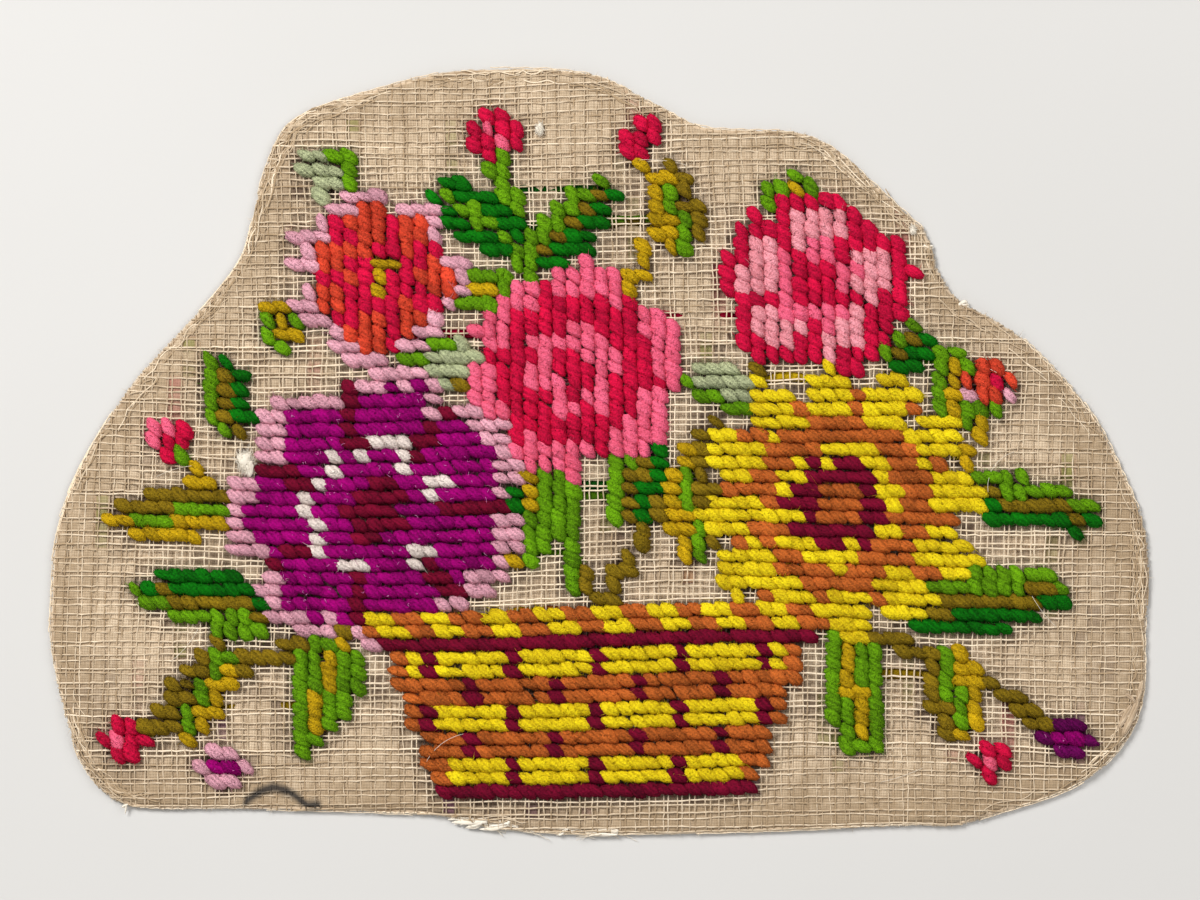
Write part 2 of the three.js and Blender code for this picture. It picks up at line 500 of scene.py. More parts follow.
def joined(*parts):
    """Several sets of points, face groups and values as one set, with faces numbered on from set to set."""
    first = np.cumsum([0] + [len(part[0]) for part in parts])
    faces = [group + start for part, start in zip(parts, first) for group in part[1]]
    columns = zip(*[(part[0], *part[2:]) for part in parts])
    points, *values = (np.concatenate(column) for column in columns)
    return points, faces, *values


spike_points, spike_faces = spikes(np.zeros((1, 3)), np.array([[0, 0, 1.0]]), 0.1)
print("a fibre:", len(spike_points), "points and", len(spike_faces), "triangles")

# %% A piece from arrays
pieces = {}


def make_piece(name, points, face_groups, material, **values):
    """A smooth mesh object from points in mm and arrays of faces, with a value per point for each name."""
    mesh = bpy.data.meshes.new(name)
    points = np.asarray(points, float).reshape(-1, 3) * MM
    totals = np.concatenate([np.full(len(group), group.shape[1]) for group in face_groups])
    loops = np.concatenate([group.ravel() for group in face_groups]).astype(np.int32)
    mesh.vertices.add(len(points))
    mesh.vertices.foreach_set("co", points.astype(np.float32).ravel())
    mesh.loops.add(len(loops))
    mesh.loops.foreach_set("vertex_index", loops)
    mesh.polygons.add(len(totals))
    mesh.polygons.foreach_set("loop_start", (np.cumsum(totals) - totals).astype(np.int32))
    mesh.update(calc_edges=True)
    mesh.shade_smooth()
    for key, value in values.items():
        layer = mesh.attributes.new(key, "FLOAT", "POINT")
        layer.data.foreach_set("value", np.ravel(value).astype(np.float32))
    mesh.materials.append(material)
    piece = bpy.data.objects.new(name, mesh)
    bpy.context.scene.collection.objects.link(piece)
    pieces[name] = piece
    print(f"{name}: {len(points)} points, {int((totals - 2).sum())} triangles")
    return piece


# %% [markdown]
# ## Finishes
# Everything here is matt fibre. What tells the finishes apart is scale: wool is soft, with fine hairs
# along the strand, canvas thread is smooth and pale, and the backing is a fine plain weave. The
# patterns come from noise on Object coordinates and from values that the meshes carry.

# %% A small kit for node materials
WAVE = 0.314  # a wave texture of scale 1 has bands this far apart


def linear(colour):
    """A colour as seen, 0 to 255, as the linear values that shaders take."""
    share = np.array(colour, float) / 255
    return (*np.where(share <= 0.04045, share / 12.92, ((share + 0.055) / 1.055) ** 2.4), 1.0)


class Finish:
    """A material with a few shorthands for adding nodes. Values are numbers or other nodes' outputs."""

    def __init__(self, name, roughness, sheen, gloss=0.15):
        self.material = bpy.data.materials.new(name)
        self.material.use_nodes = True
        self.tree = self.material.node_tree
        self.shader = self.tree.nodes["Principled BSDF"]
        self.shader.inputs["Roughness"].default_value = roughness
        self.shader.inputs["Specular IOR Level"].default_value = gloss
        self.shader.inputs["Sheen Weight"].default_value = sheen
        self.shader.inputs["Sheen Roughness"].default_value = 0.5

    def node(self, kind, settings=None, **inputs):
        """A node with its settings, and values for its inputs, whose names have _ for spaces."""
        made = self.tree.nodes.new("ShaderNode" + kind)
        for key, value in (settings or {}).items():
            setattr(made, key, value)
        for key, value in inputs.items():
            self.put(made.inputs[key.replace("_", " ")], value)
        return made

    def put(self, socket, value):
        """Links an output to a socket, or sets the socket's own value."""
        if isinstance(value, bpy.types.NodeSocket):
            self.tree.links.new(value, socket)
        else:
            socket.default_value = value

    def noise(self, scale, detail=2.0, stretch=(1, 1, 1)):
        """Noise on Object coordinates, in lumps of about 1/scale metres, longer where stretch is small."""
        place = self.node("TexCoord").outputs["Object"]
        mapped = self.node("Mapping", Vector=place, Scale=stretch)
        return self.node("TexNoise", Vector=mapped.outputs[0], Scale=scale, Detail=detail).outputs[0]

    def carried(self, name):
        """A value that the mesh carries at each point."""
        return self.node("Attribute", {"attribute_name": name}).outputs["Fac"]

    def maths(self, kind, *values):
        """Arithmetic on one value or two, by the operation's name."""
        made = self.node("Math", {"operation": kind})
        for socket, value in zip(made.inputs, values):
            self.put(socket, value)
        return made.outputs[0]

    def total(self, *parts):
        """Values added up. A part is an output, or a pair of an output and its weight."""
        weighted = [self.maths("MULTIPLY", *part) if isinstance(part, tuple) else part for part in parts]
        added = weighted[0]
        for part in weighted[1:]:
            added = self.maths("ADD", added, part)
        return added

    def spread(self, value, low, high, start=0.0, end=1.0):
        """A value from low to high, stretched to run from start to end and held there beyond."""
        made = self.node("MapRange", From_Min=low, From_Max=high, To_Min=start, To_Max=end, Value=value)
        return made.outputs[0]

    def between(self, share, *colours):
        """A colour between two, by a share that varies over the surface. Each of the two is an output, or
        red, green and blue as seen."""
        made = self.node("Mix", {"data_type": "RGBA"})
        self.put(made.inputs["Factor"], share)
        for socket, colour in zip((made.inputs[6], made.inputs[7]), colours):
            self.put(socket, colour if isinstance(colour, bpy.types.NodeSocket) else linear(colour))
        return made.outputs[2]

    def bump(self, height, depth):
        """Small relief, depth in metres for a height from 0 to 1."""
        made = self.node("Bump", Height=height, Distance=depth)
        self.tree.links.new(made.outputs[0], self.shader.inputs["Normal"])

    def paint(self, colour):
        """Sets the surface colour from an output."""
        self.tree.links.new(colour, self.shader.inputs["Base Color"])


print("mid grey as a shader takes it:", np.round(linear((128, 128, 128)), 3))

# %% Dyed wool
PLY_WIDE = 1.45  # a ply of wool, in mm
WOOL_RELIEF = 0.0005  # of the palest wools, in metres: dark dye leaves the strand smoother
PALE = 0.45  # wools lighter than this have the full relief
LEAST_RELIEF = 0.45  # share of it that the darkest keep
BRIGHTNESS = (0.30, 0.59, 0.11)  # what red, green and blue each give to how light a colour looks


def wool_finish(name, colour):
    """Dyed wool: twisted plies as waves across each stitch, fibres as noise stretched along it, finer fuzz,
    and a slow change of shade. The meshes carry each point's place across and along its stitch."""
    colour = np.array(colour)
    finish = Finish(name, 0.95, 0.14, gloss=0.08)
    finish.shader.inputs["Sheen Tint"].default_value = linear(colour * 0.9)
    place = finish.node("CombineXYZ", X=finish.carried("across"), Y=finish.carried("along")).outputs[0]
    plies = finish.node(
        "TexWave", Vector=place, Scale=WAVE / PLY_WIDE, Distortion=3.0, Detail=2.0, Detail_Scale=1.2,
    ).outputs["Fac"]
    fibres = finish.node("TexNoise", Vector=place, Scale=1.5, Detail=4.0, Roughness=0.65).outputs[0]
    grain = finish.total((fibres, 0.75), (finish.noise(2600, 3), 1.15), (plies, 0.18))
    shade = finish.total(finish.carried("tone"), (finish.noise(70, 2), 0.5))
    light = np.clip(colour * 1.16 + 2, 0, 255)
    deep = colour * (0.58 + 0.24 * (max(colour) / 255) ** 2)
    finish.paint(finish.between(finish.spread(finish.total(grain, shade), 1.46, 2.21), deep, light))
    finish.bump(grain, WOOL_RELIEF * np.clip(np.dot(colour, BRIGHTNESS) / 255 / PALE, LEAST_RELIEF, 1))
    return finish.material


print("plies", PLY_WIDE, "mm apart, relief up to", WOOL_RELIEF / MM, "mm")

# %% An ink line on the margin
INK_FROM, INK_TO, INK_HUMP = -0.0812, -0.0628, 0.0148  # where it begins and ends, and its hump's length
INK_LEVEL, INK_RISE = -0.0797, 0.0040  # height of its tail, and how far the hump stands above that
INK_HALF = 0.0009
INK_WANDER = 0.0010
INK_COLOUR, INK_STRENGTH = (50, 47, 45), 0.93


def inked(finish, colour):
    """A colour with a faded ink line drawn over it, in metres: half a wave and then a level tail. It is
    dark where the height of a place differs little from that of the line, between the line's ends."""
    x, y, _ = finish.node("SeparateXYZ", Vector=finish.node("TexCoord").outputs["Object"]).outputs
    angle = finish.spread(x, INK_FROM, INK_FROM + INK_HUMP, 0.0, np.pi)
    hump = finish.maths("MULTIPLY", finish.maths("SINE", angle), INK_RISE)
    height = finish.total(y, (finish.noise(900, 3), INK_WANDER))
    above = finish.maths("SUBTRACT", finish.maths("SUBTRACT", height, hump), INK_LEVEL)
    apart = finish.maths("ABSOLUTE", above)
    near = finish.spread(apart, 0.4 * INK_HALF, 1.9 * INK_HALF, INK_STRENGTH, 0.0)
    middle, half = (INK_FROM + INK_TO) / 2, (INK_TO - INK_FROM) / 2
    past = finish.maths("ABSOLUTE", finish.maths("SUBTRACT", x, middle))
    within = finish.spread(past, half - INK_HALF, half, 1.0, 0.0)
    return finish.between(finish.maths("MULTIPLY", near, within), colour, INK_COLOUR)


print("ink line", round((INK_TO - INK_FROM) / MM, 1), "mm long")

# %% Canvas thread
THREAD_RELIEF = 0.00006  # in metres
UNDER_WOOL_SHADE = (66, 48, 38)  # painted shade: thread under the wool drawn dark brown like the shaded gaps between ropes, with some fluff


def thread_finish(name, colour, dirt):
    """Canvas thread: pale and smooth, browner in slow patches, and drawn dark brown where wool covers it,
    as painted shade with some fluff.
    """
    finish = Finish(name, 0.85, 0.1)
    patch = finish.noise(38, 3)
    fine = finish.noise(900, 2)
    soil = finish.total(patch, fine, finish.carried("soil"))
    bare = finish.between(finish.spread(soil, 0.75, 1.9), colour, dirt)
    # painted shade: where wool lies over a crossing, the thread is mixed to a dark brown
    finish.paint(inked(finish, finish.between(finish.carried("under"), bare, UNDER_WOOL_SHADE)))
    finish.bump(fine, THREAD_RELIEF)
    return finish.material


canvas_thread = thread_finish("canvas_thread", (238, 220, 193), (168, 144, 113))
print("canvas thread finish has", len(canvas_thread.node_tree.nodes), "nodes")

# %% [markdown]
# ## The backing cloth
# A fine unbleached cloth lies behind the canvas. In the bare margin it presses up into the windows like
# a row of small pillows, and among the stitches it lies lower, in shadow. A flat sheet with bump would
# show no shadow, so the pillows are real: the sheet's points sit on the canvas lattice, three to a
# stitch, and rise between the thread pairs. The underside is flat, because it rests on the table.

# %% The backing's finish
THREADS = WAVE / 0.00062  # scale of a wave whose bands are threads 0.62 mm apart
WEAVE_RELIEF = 0.00016  # in metres
TRACE_COLOURS = [(160, 78, 80), (122, 122, 54), (104, 58, 88), (150, 100, 58)]  # wool behind the net


def backing_finish():
    """Unbleached plain weave: threads both ways as waves that wander, slubs drawn out up the cloth, brown
    patches, windows drawn dark brown by the value deep (painted shade among the wool, and the darker
    stretches of the margin), and windows tinted by wool behind them."""
    finish = Finish("backing_linen", 0.95, 0.1)
    place = finish.node("TexCoord").outputs["Object"]
    upright, level = (
        finish.node(
            "TexWave", {"bands_direction": way},
            Vector=place, Scale=THREADS, Distortion=2.6, Detail=2.0, Detail_Scale=0.7,
        ).outputs["Fac"]
        for way in ("X", "Y")
    )
    weave = finish.total((upright, 0.35), (level, 0.35), finish.noise(1500, 2, (1, 0.16, 1)))
    soil = finish.total(finish.noise(26, 3), finish.noise(300, 2), finish.carried("soil"))
    ridges = finish.between(finish.spread(soil, 0.7, 1.45), (216, 195, 167), (160, 138, 110))
    cloth = finish.between(finish.spread(weave, 0.38, 1.06), (156, 134, 107), ridges)
    # painted shade: a dark brown that the value deep mixes into the windows
    painted_window_shade = finish.between(finish.noise(90, 2), (66, 44, 44), (92, 72, 54))
    cloth = finish.between(finish.carried("deep"), cloth, painted_window_shade)
    tints = finish.node("ValToRGB", Fac=finish.carried("tone"))
    stops = tints.color_ramp.elements
    last = len(TRACE_COLOURS) - 1
    for k in range(1, last):
        stops.new(k / last)
    for stop, colour in zip(stops, TRACE_COLOURS):
        stop.color = linear(colour)
    cloth = finish.between(finish.carried("traces"), cloth, tints.outputs["Color"])
    finish.paint(inked(finish, cloth))
    finish.bump(weave, WEAVE_RELIEF)
    return finish.material


backing_linen = backing_finish()
print("backing finish has", len(backing_linen.node_tree.nodes), "nodes")

# %% Soil, and windows darkened with painted shade
DARK_STRETCHES = [
    # x, y, half width, half height, strength: stretches of the margin whose windows are drawn darker
    (-111, -60, 13, 20, 0.6),
    (113, -42, 9, 27, 0.5),
    (117, -66, 8, 9, 0.4),
    (-22, -80, 22, 6, 0.35),
    (101, 14, 9, 12, 0.3),
    (-72, 66, 9, 14, 0.3),
]
DARKEST = 0.95  # of a window


def edge_soil(x, y):
    """Handling leaves the cloth browner towards its edge, most of all at the lower corners and right."""
    darkening = 1 - 0.5 * ramp(y, -70, 60) + 0.3 * ramp(x, 20, 110)
    return 0.42 * darkening * (1 - ramp(inward(x, y), 1, 16))


def darker_stretches(shape):
    """Darkness in each window from the listed stretches: each is an oval, full in its middle and fading to
    its edge.
    """
    v, u = np.indices(shape) - np.array([HALF_UP + 1.5, HALF_ACROSS + 1.5])[:, None, None]
    darkening = np.zeros(shape)
    for at_x, at_y, half_x, half_y, strength in DARK_STRETCHES:
        away = np.hypot((PITCH_X * u - at_x) / half_x, (PITCH_Y * v - at_y) / half_y)
        darkening = np.maximum(darkening, strength * (1 - ramp(away, 0.3, 1)))
    return darkening


def window_shade(rng):
    """How dark each window is. Painted shade among the wool: the share of its four crossings that are
    worked, times chance, and now and then a dark one further off among the wool. Added to that, the
    darkness of the listed stretches of the margin."""
    wool = np.pad(worked.astype(float), 2)
    # painted shade: windows beside worked crossings are darker
    share = (wool[1:, 1:] + wool[:-1, 1:] + wool[1:, :-1] + wool[:-1, :-1]) / 4
    near = np.pad(ground, 2)[1:, 1:] * (rng.uniform(size=share.shape) < 0.5)
    chance = rng.beta(1.3, 1.2, share.shape)
    stretch_darkness = darker_stretches(share.shape) * rng.beta(1.2, 1.8, share.shape)
    return np.clip(np.maximum(1.7 * share, 0.85 * near) * chance + stretch_darkness, 0, DARKEST)


print("soil at the left end:", edge_soil(low[0] + 2, -30.0).round(2))

# %% Windows tinted by wool
TRACES = 48  # runs of windows tinted by wool behind them
LONGEST_TRACE = 5
TRACE_GROUPS = ("HCSTL", "GDEOU", "PVM", "RYW")  # wools whose traces look alike


def wool_traces(rng):
    """Wool behind the canvas tints runs of up to five windows up a column, at the border of the worked
    field. Gives each window's strength of tint, and its tone: that of the nearest stitch."""
    soft = np.pad(ground, 2)[1:, 1:]
    rows, columns = np.nonzero((soft > 0.25) & (soft < 0.9))
    pick = rng.integers(0, len(rows), TRACES)
    rows, columns = rows[pick], columns[pick]
    at_row, at_column = np.nonzero(worked)
    away = np.hypot(at_row + 2 - rows[:, None], at_column + 2 - columns[:, None])
    letters = chart[worked][np.argmin(away, axis=1)]
    last = len(TRACE_GROUPS) - 1
    tones = sum(k / last * np.isin(letters, list(group)) for k, group in enumerate(TRACE_GROUPS))
    strength, tone = np.zeros(soft.shape), np.zeros(soft.shape)
    run = rng.integers(1, LONGEST_TRACE + 1, TRACES)
    for step in range(LONGEST_TRACE):
        here = (np.minimum(rows + step, len(soft) - 1)[run > step], columns[run > step])
        strength[here] = rng.beta(1.3, 2.6, len(here[0]))
        tone[here] = tones[run > step]
    return strength, tone


print(TRACES, "runs of tinted windows, in", len(TRACE_GROUPS), "tones")

# %% A closed sheet from a grid
def closed_sheet(top, kept):
    """Points and faces of a closed sheet from a grid of points of its top and a mask of the squares that
    are kept. Its underside is the same grid at height 0, and each side of a square that no other square
    uses gets a wall. Also the numbers of the points that are left, for values that go with them."""
    number = np.arange(top[..., 0].size).reshape(top.shape[:2])
    quads = np.stack([number[:-1, :-1], number[:-1, 1:], number[1:, 1:], number[1:, :-1]], axis=-1)[kept]
    sides = np.concatenate([quads[:, [a, b]] for a, b in ((0, 1), (1, 2), (2, 3), (3, 0))])
    keys = np.sort(sides, axis=1) @ np.array([number.size, 1])
    _, first, uses = np.unique(keys, return_index=True, return_counts=True)
    start, end = sides[first[uses == 1]].T
    under = number.size
    wall = np.stack([start, start + under, end + under, end], axis=-1)
    faces = np.concatenate([quads, quads[:, ::-1] + under, wall])
    over = top.reshape(-1, 3)
    points = np.concatenate([over, over * np.array([1, 1, 0])])
    used, renumbered = np.unique(faces, return_inverse=True)
    return points[used], renumbered.reshape(faces.shape), used


points, faces, _ = closed_sheet(np.ones((3, 3, 3)), np.ones((2, 2), bool))
print("a sheet of four squares:", len(points), "points and", len(faces), "faces")

# %% The backing sheet
BACKING_INSET = 0.9  # as the CAD backing: its edge is hidden inside the fold of the canvas
BACKING_LOW = 0.55  # top of the cloth among the stitches
BACKING_SUNK = 0.25  # how far the bare cloth lies below the middle of the canvas
BACKING_THINNEST = 0.3
PILLOW = 0.40  # how far a pillow rises between thread pairs
PILLOW_SHOULDER = 0.28  # where a pillow's flat top begins, in stitches from the pair
FURTHEST_PULL = 4  # how far a point outside the outline is drawn in


def grid_marks(half):
    """Places across the lattice: the middle of each pair and the shoulders of the pillows beside it."""
    pairs = np.arange(-half - 1, half + 2)[:, None]
    return (pairs + np.array([-PILLOW_SHOULDER, 0, PILLOW_SHOULDER])).ravel()


def backing_sheet():
    """A closed sheet over the lattice inside the outline. Points just outside it are drawn in to the
    outline, so its edge follows the cut. Top: canvas height, less a thread, plus the pillows."""
    u, v = np.meshgrid(grid_marks(HALF_ACROSS), grid_marks(HALF_UP))
    x, y = lattice(u, v)
    depth = inward(x, y) - BACKING_INSET
    kept = (depth[:-1, :-1] > 0) | (depth[1:, :-1] > 0) | (depth[:-1, 1:] > 0) | (depth[1:, 1:] > 0)
    slope_x = (inward(x + 1, y) - inward(x - 1, y)) / 2
    slope_y = (inward(x, y + 1) - inward(x, y - 1)) / 2
    pull = np.clip(-depth, 0, FURTHEST_PULL)
    x, y = x + slope_x * pull, y + slope_y * pull
    rng = np.random.default_rng(12)
    window = np.floor(v).astype(int) + HALF_UP + 2, np.floor(u).astype(int) + HALF_ACROSS + 2
    plump = rng.normal(1, 0.3, (2 * HALF_UP + 4, 2 * HALF_ACROSS + 4))[window]
    # painted shade of the windows, carried to the finish as deep
    shade = window_shade(rng)[window]
    strength, tone = (values[window] for values in wool_traces(rng))
    pillow = PILLOW * np.clip(plump, 0.2, 1.6) * np.abs(np.sin(np.pi * u) * np.sin(np.pi * v))
    bare = canvas_height(u, v, x, y) - BACKING_SUNK + pillow
    fill = worked_at(u, v)
    top = bare * (1 - fill) + (BACKING_LOW + 0.5 * swelling(x, y) + 0.3 * pillow) * fill
    top = np.maximum(top, BACKING_THINNEST)
    points, faces, used = closed_sheet(np.stack([x, y, top], axis=-1), kept)
    carried = {"deep": shade, "traces": strength, "tone": tone}
    carried = {name: np.tile(value.ravel(), 2)[used] for name, value in carried.items()}
    return points, faces, carried


points, faces, carried = backing_sheet()
x, y = points[:, 0], points[:, 1]
soil = edge_soil(x, y) - 0.2 * worked_at(x / PITCH_X, y / PITCH_Y)  # lighter where the canvas is worked
make_piece("backing_sheet", points, [faces], backing_linen, soil=soil, **carried)

# %% [markdown]
# ## The canvas
# Double-thread canvas is a plain weave of pairs: two threads, a window, two threads, a window. Each
# thread goes over one thread and under the next. It could be one sheet with holes, but real threads
# catch the light along their length and throw thin shadows, so each is a strand with a station at every
# crossing. Under solid wool, where nothing shows, every second station is left out. At the edge each
# thread is cut at the outline, where it sinks into the fold.

# %% Threads one way
PAIR_ACROSS, PAIR_UP = 0.17, 0.20  # half the distance between the threads of a pair, in stitches
PROUD = {"warp": -0.04, "weft": 0.04}  # the weft, along the rows, stands a little higher
WEAVE = 0.13  # how far a thread rises and falls at crossings


def thread_family(kind, rng):
    """Stations of all threads one way: the warp up the canvas, or the weft along its rows. Each thread is
    its pair's lattice line, moved a little and wandering slowly, up and down in turn."""
    across = kind == "weft"
    own, other = (HALF_UP, HALF_ACROSS) if across else (HALF_ACROSS, HALF_UP)
    apart, crossed = (PAIR_UP, PAIR_ACROSS) if across else (PAIR_ACROSS, PAIR_UP)
    lines = (np.arange(-own, own + 1)[:, None] + np.array([-apart, apart])).ravel()
    stops = (np.arange(-other, other + 1)[:, None] + np.array([-crossed, crossed])).ravel()
    line, stop = np.meshgrid(lines, stops, indexing="ij")
    phase = rng.uniform(0, 2 * np.pi, (len(lines), 2, 1))
    line = line + rng.normal(0, 0.04, (len(lines), 1)) + rng.normal(0, 0.02, line.shape)
    line = line + 0.05 * np.sin(stop / 3.1 + phase[:, 0]) + 0.03 * np.sin(stop / 1.3 + phase[:, 1])
    u, v = (stop, line) if across else (line, stop)
    x, y = lattice(u, v)
    turn = (np.arange(len(lines))[:, None] + np.arange(len(stops))) % 2 * 2 - 1
    z = canvas_height(u, v, x, y) + PROUD[kind] + WEAVE * turn * (-1 if across else 1)
    depth = inward(x, y)
    return u, v, np.stack([x, y, z], axis=-1), depth


def cut_at_edge(points, depth):
    """Stations inside the edge, plus one past each end that is drawn back along the thread to the edge."""
    within = depth > 0
    ending = np.zeros_like(within)
    for step in (1, -1):
        last = within & ~np.roll(within, -step, axis=1)
        last[:, -1 if step == 1 else 0] = False
        thread, station = np.nonzero(last)
        share = depth[thread, station] / (depth[thread, station] - depth[thread, station + step])
        gap = points[thread, station + step] - points[thread, station]
        points[thread, station + step] = points[thread, station] + gap * share[:, None]
        ending[thread, station + step] = True
    return within, ending


print("threads:", 4 * HALF_ACROSS + 2, "up the canvas and", 4 * HALF_UP + 2, "along it")

# %% The canvas net
THREAD_WIDE = {"warp": 0.145, "weft": 0.19}  # half a thread's width
THREAD_TALL = 0.235  # half its height
THREAD_SIDES = 4
SOIL = {"warp": 0.14, "weft": -0.06}  # the weft is paler
MARGIN_SOIL = 0.45  # added in the bare margin
MOST_RUNS = 1000  # more stretches of thread than any one line has

filled = softened(worked, 1) > 0.99  # crossings with wool all round them


def near_crossing(grid, u, v):
    """Value of a grid of crossings at the crossing nearest to each place."""
    row = np.clip(np.rint(v).astype(int) + HALF_UP, 0, 2 * HALF_UP)
    column = np.clip(np.rint(u).astype(int) + HALF_ACROSS, 0, 2 * HALF_ACROSS)
    return grid[row, column]


def canvas_threads(kind, seed):
    """Points and faces of one family of threads, and two values: soil, and whether wool lies over it."""
    rng = np.random.default_rng(seed)
    u, v, points, depth = thread_family(kind, rng)
    within, ending = cut_at_edge(points, depth)
    hidden = near_crossing(filled, u, v)
    second = np.arange(points.shape[1]) % 2 == 1
    kept = (within & ~(hidden & second)) | ending
    run = np.cumsum(~(within | ending), axis=1) + MOST_RUNS * np.arange(len(points))[:, None]
    run = run[kept]
    stout = rng.normal(1, 0.08, (len(points), 1)) * rng.normal(1, 0.06, depth.shape)
    rings = strand_points(points, THREAD_WIDE[kind] * stout, THREAD_TALL * stout, THREAD_SIDES)[kept]
    joins = np.nonzero(run[1:] == run[:-1])[0]
    starts = np.nonzero(np.r_[True, run[1:] != run[:-1]])[0]
    ends = np.nonzero(np.r_[run[1:] != run[:-1], True])[0]
    walls, caps = strand_faces(np.stack([joins, joins + 1], axis=1), starts, ends, THREAD_SIDES)
    soil = SOIL[kind] + MARGIN_SOIL * (1 - worked_at(u, v)) + rng.normal(0, 0.2, (len(points), 1))
    soil = soil + rng.normal(0, 0.14, depth.shape)
    soil = soil + 0.2 * edge_soil(points[..., 0], points[..., 1])
    carried = np.stack([soil[kept], near_crossing(worked, u, v)[kept]])
    return rings.reshape(-1, 3), np.concatenate([walls, caps]), np.repeat(carried, THREAD_SIDES, axis=1)


warp_points, warp_faces, warp_values = canvas_threads("warp", 21)
weft_points, weft_faces, weft_values = canvas_threads("weft", 22)
soil, under = np.concatenate([warp_values, weft_values], axis=1)
make_piece(
    "canvas_net", np.concatenate([warp_points, weft_points]),
    [np.concatenate([warp_faces, weft_faces + len(warp_points)])], canvas_thread, soil=soil, under=under,
)

# %% [markdown]
# ## The folded edge
# The canvas is turned under all round, so its edge is a soft roll of doubled cloth. It is a closed
# oval section carried round the outline, uneven as hand folding is, flat below where it rests.

# %% The hem's finish
HEM_RELIEF = 0.0005  # in metres


def hem_finish():
    """Doubled cloth seen at the fold: thread lines along the edge, brown creases, and a painted highlight
    that makes the outermost side of the roll paler.
    """
    finish = Finish("hem_cloth", 0.9, 0.15)
    place = finish.node("CombineXYZ", X=finish.carried("along"), Y=finish.carried("round")).outputs[0]
    lines = finish.node("TexNoise", Vector=place, Scale=1.0, Detail=3.0).outputs[0]
    share = finish.spread(finish.total(lines, finish.noise(60, 3)), 0.72, 1.3)
    cloth = finish.between(share, (138, 112, 84), (222, 199, 169))
    # painted highlight: pale grey cloth along the outermost side of the roll
    finish.paint(finish.between(finish.carried("rim_highlight"), cloth, (208, 196, 178)))
    finish.bump(lines, HEM_RELIEF)
    return finish.material


hem_cloth = hem_finish()
print("hem finish has", len(hem_cloth.node_tree.nodes), "nodes")

# %% The hem
HEM_STATIONS, HEM_SIDES = 1100, 12
HEM_LEVEL = 0.62  # height of the roll's middle
HEM_HALF_HEIGHT = 0.54
HEM_HALF_WIDTH, HEM_BUNCHING = 0.55, 0.5  # where it follows the threads, and what it gains aslant
HEM_LOWEST = 0.03
HEM_BEATS = 24  # waves of different length that make it uneven


def hem_roll():
    """An oval section carried round the outline: wide where the edge runs aslant and the cloth bunches,
    narrow where it follows the threads, uneven all round, and pressed flat below."""
    rng = np.random.default_rng(31)
    share = np.arange(HEM_STATIONS)[:, None] / HEM_STATIONS
    angle = 2 * np.pi * np.arange(HEM_SIDES) / HEM_SIDES
    normal = edge_normal(share[:, 0])
    aslant = softened(np.abs(2 * normal[:, :1] * normal[:, 1:]), 12)
    beats = rng.integers(25, 330, HEM_BEATS)
    waves = np.sin(2 * np.pi * beats * share + rng.uniform(0, 2 * np.pi, HEM_BEATS))
    uneven = waves.sum(axis=1, keepdims=True) / 4
    wide = (HEM_HALF_WIDTH + HEM_BUNCHING * aslant) * (1 + 0.16 * uneven)
    tall = HEM_HALF_HEIGHT * (1 + 0.10 * np.roll(uneven, 40))
    rows = edge_at(share[:, 0])[:, 1:] / PITCH_Y
    teeth = 0.16 * np.abs(np.sin(np.pi * rows)) * ramp(np.abs(normal[:, :1]), 0.75, 0.95)
    out = wide * (np.cos(angle) - 1) + 0.10 * uneven - teeth
    up = np.maximum(HEM_LEVEL + tall * np.sin(angle), HEM_LOWEST)
    flat = edge_at(share) + normal[:, None] * out[..., None]
    rings = np.concatenate([flat, up[..., None]], axis=-1)
    number = np.arange(HEM_STATIONS)
    linked = np.stack([number, (number + 1) % HEM_STATIONS], axis=1)
    no_ends = np.zeros(0, int)
    walls, _ = strand_faces(linked, no_ends, no_ends, HEM_SIDES)
    carried = {
        "along": np.broadcast_to(share * edge_length / 5, out.shape),
        "round": np.broadcast_to(3.2 * np.cos(angle / 2) ** 2, out.shape) * wide,
        # painted highlight, strongest at the outermost point of the section
        "rim_highlight": np.broadcast_to(0.75 * ramp(np.cos(angle), 0.55, 1.0), out.shape),
    }
    return rings.reshape(-1, 3), walls, carried


points, faces, carried = hem_roll()
make_piece("canvas_hem", points, [faces], hem_cloth, **carried)

# %% [markdown]
# ## Threads loosened along the edge
# On slanting stretches the cut threads turn and run along the fold, and at the bottom a piece of the
# edge has frayed into loose ends. All are strands again: a path that starts at a share of the outline,
# follows it for a while at some distance inside, and may stray outwards towards its end.

# %% Paths along the edge
def edge_strands(start, length, inset, stray, lift, stations):
    """Paths along the outline: start is a share of it, length in mm, inset from the edge in mm. stray is
    added outwards as the square of the share of the way, and each path lies lift above the canvas."""
    t = np.linspace(0, 1, stations)
    share = start[:, None] + length[:, None] / edge_length * t
    out = stray[:, None] * t**2 - inset[:, None]
    flat = edge_at(share) + edge_normal(share) * out[..., None]
    z = resting(flat[..., 0], flat[..., 1], lift[:, None])
    return np.concatenate([flat, z[..., None]], axis=-1)


def share_near(x, y):
    """Share of the outline at its point nearest to a place."""
    return np.argmin(np.hypot(ring[:, 0] - x, ring[:, 1] - y)) / len(ring)


print("the top of the sampler is", round(share_near(-20, high[1]), 3), "of the way round")

# %% Edge threads
EDGE_STATIONS, RIM_STATIONS = 12, 40  # along a thread beside the fold, and along one on its rim
SLANT_THREADS = 300  # tried all round the edge, and kept where it runs aslant
RIM_THREADS = 46
EDGE_THREAD_HALF, RIM_THREAD_HALF = 0.14, 0.13
RIM_HEIGHT = 1.0
BUNCHED = [
    # from and to along the edge (x, y of each), number of threads that run beside it there
    ((122.8, -55), (123.6, -22), 34),
    ((-122.6, -56), (-108, -79), 40),
    ((-50, 82.5), (-80, 50), 42),
    ((10, 80), (-34, 86.4), 26),
    ((76, 44), (50, 70), 16),
]


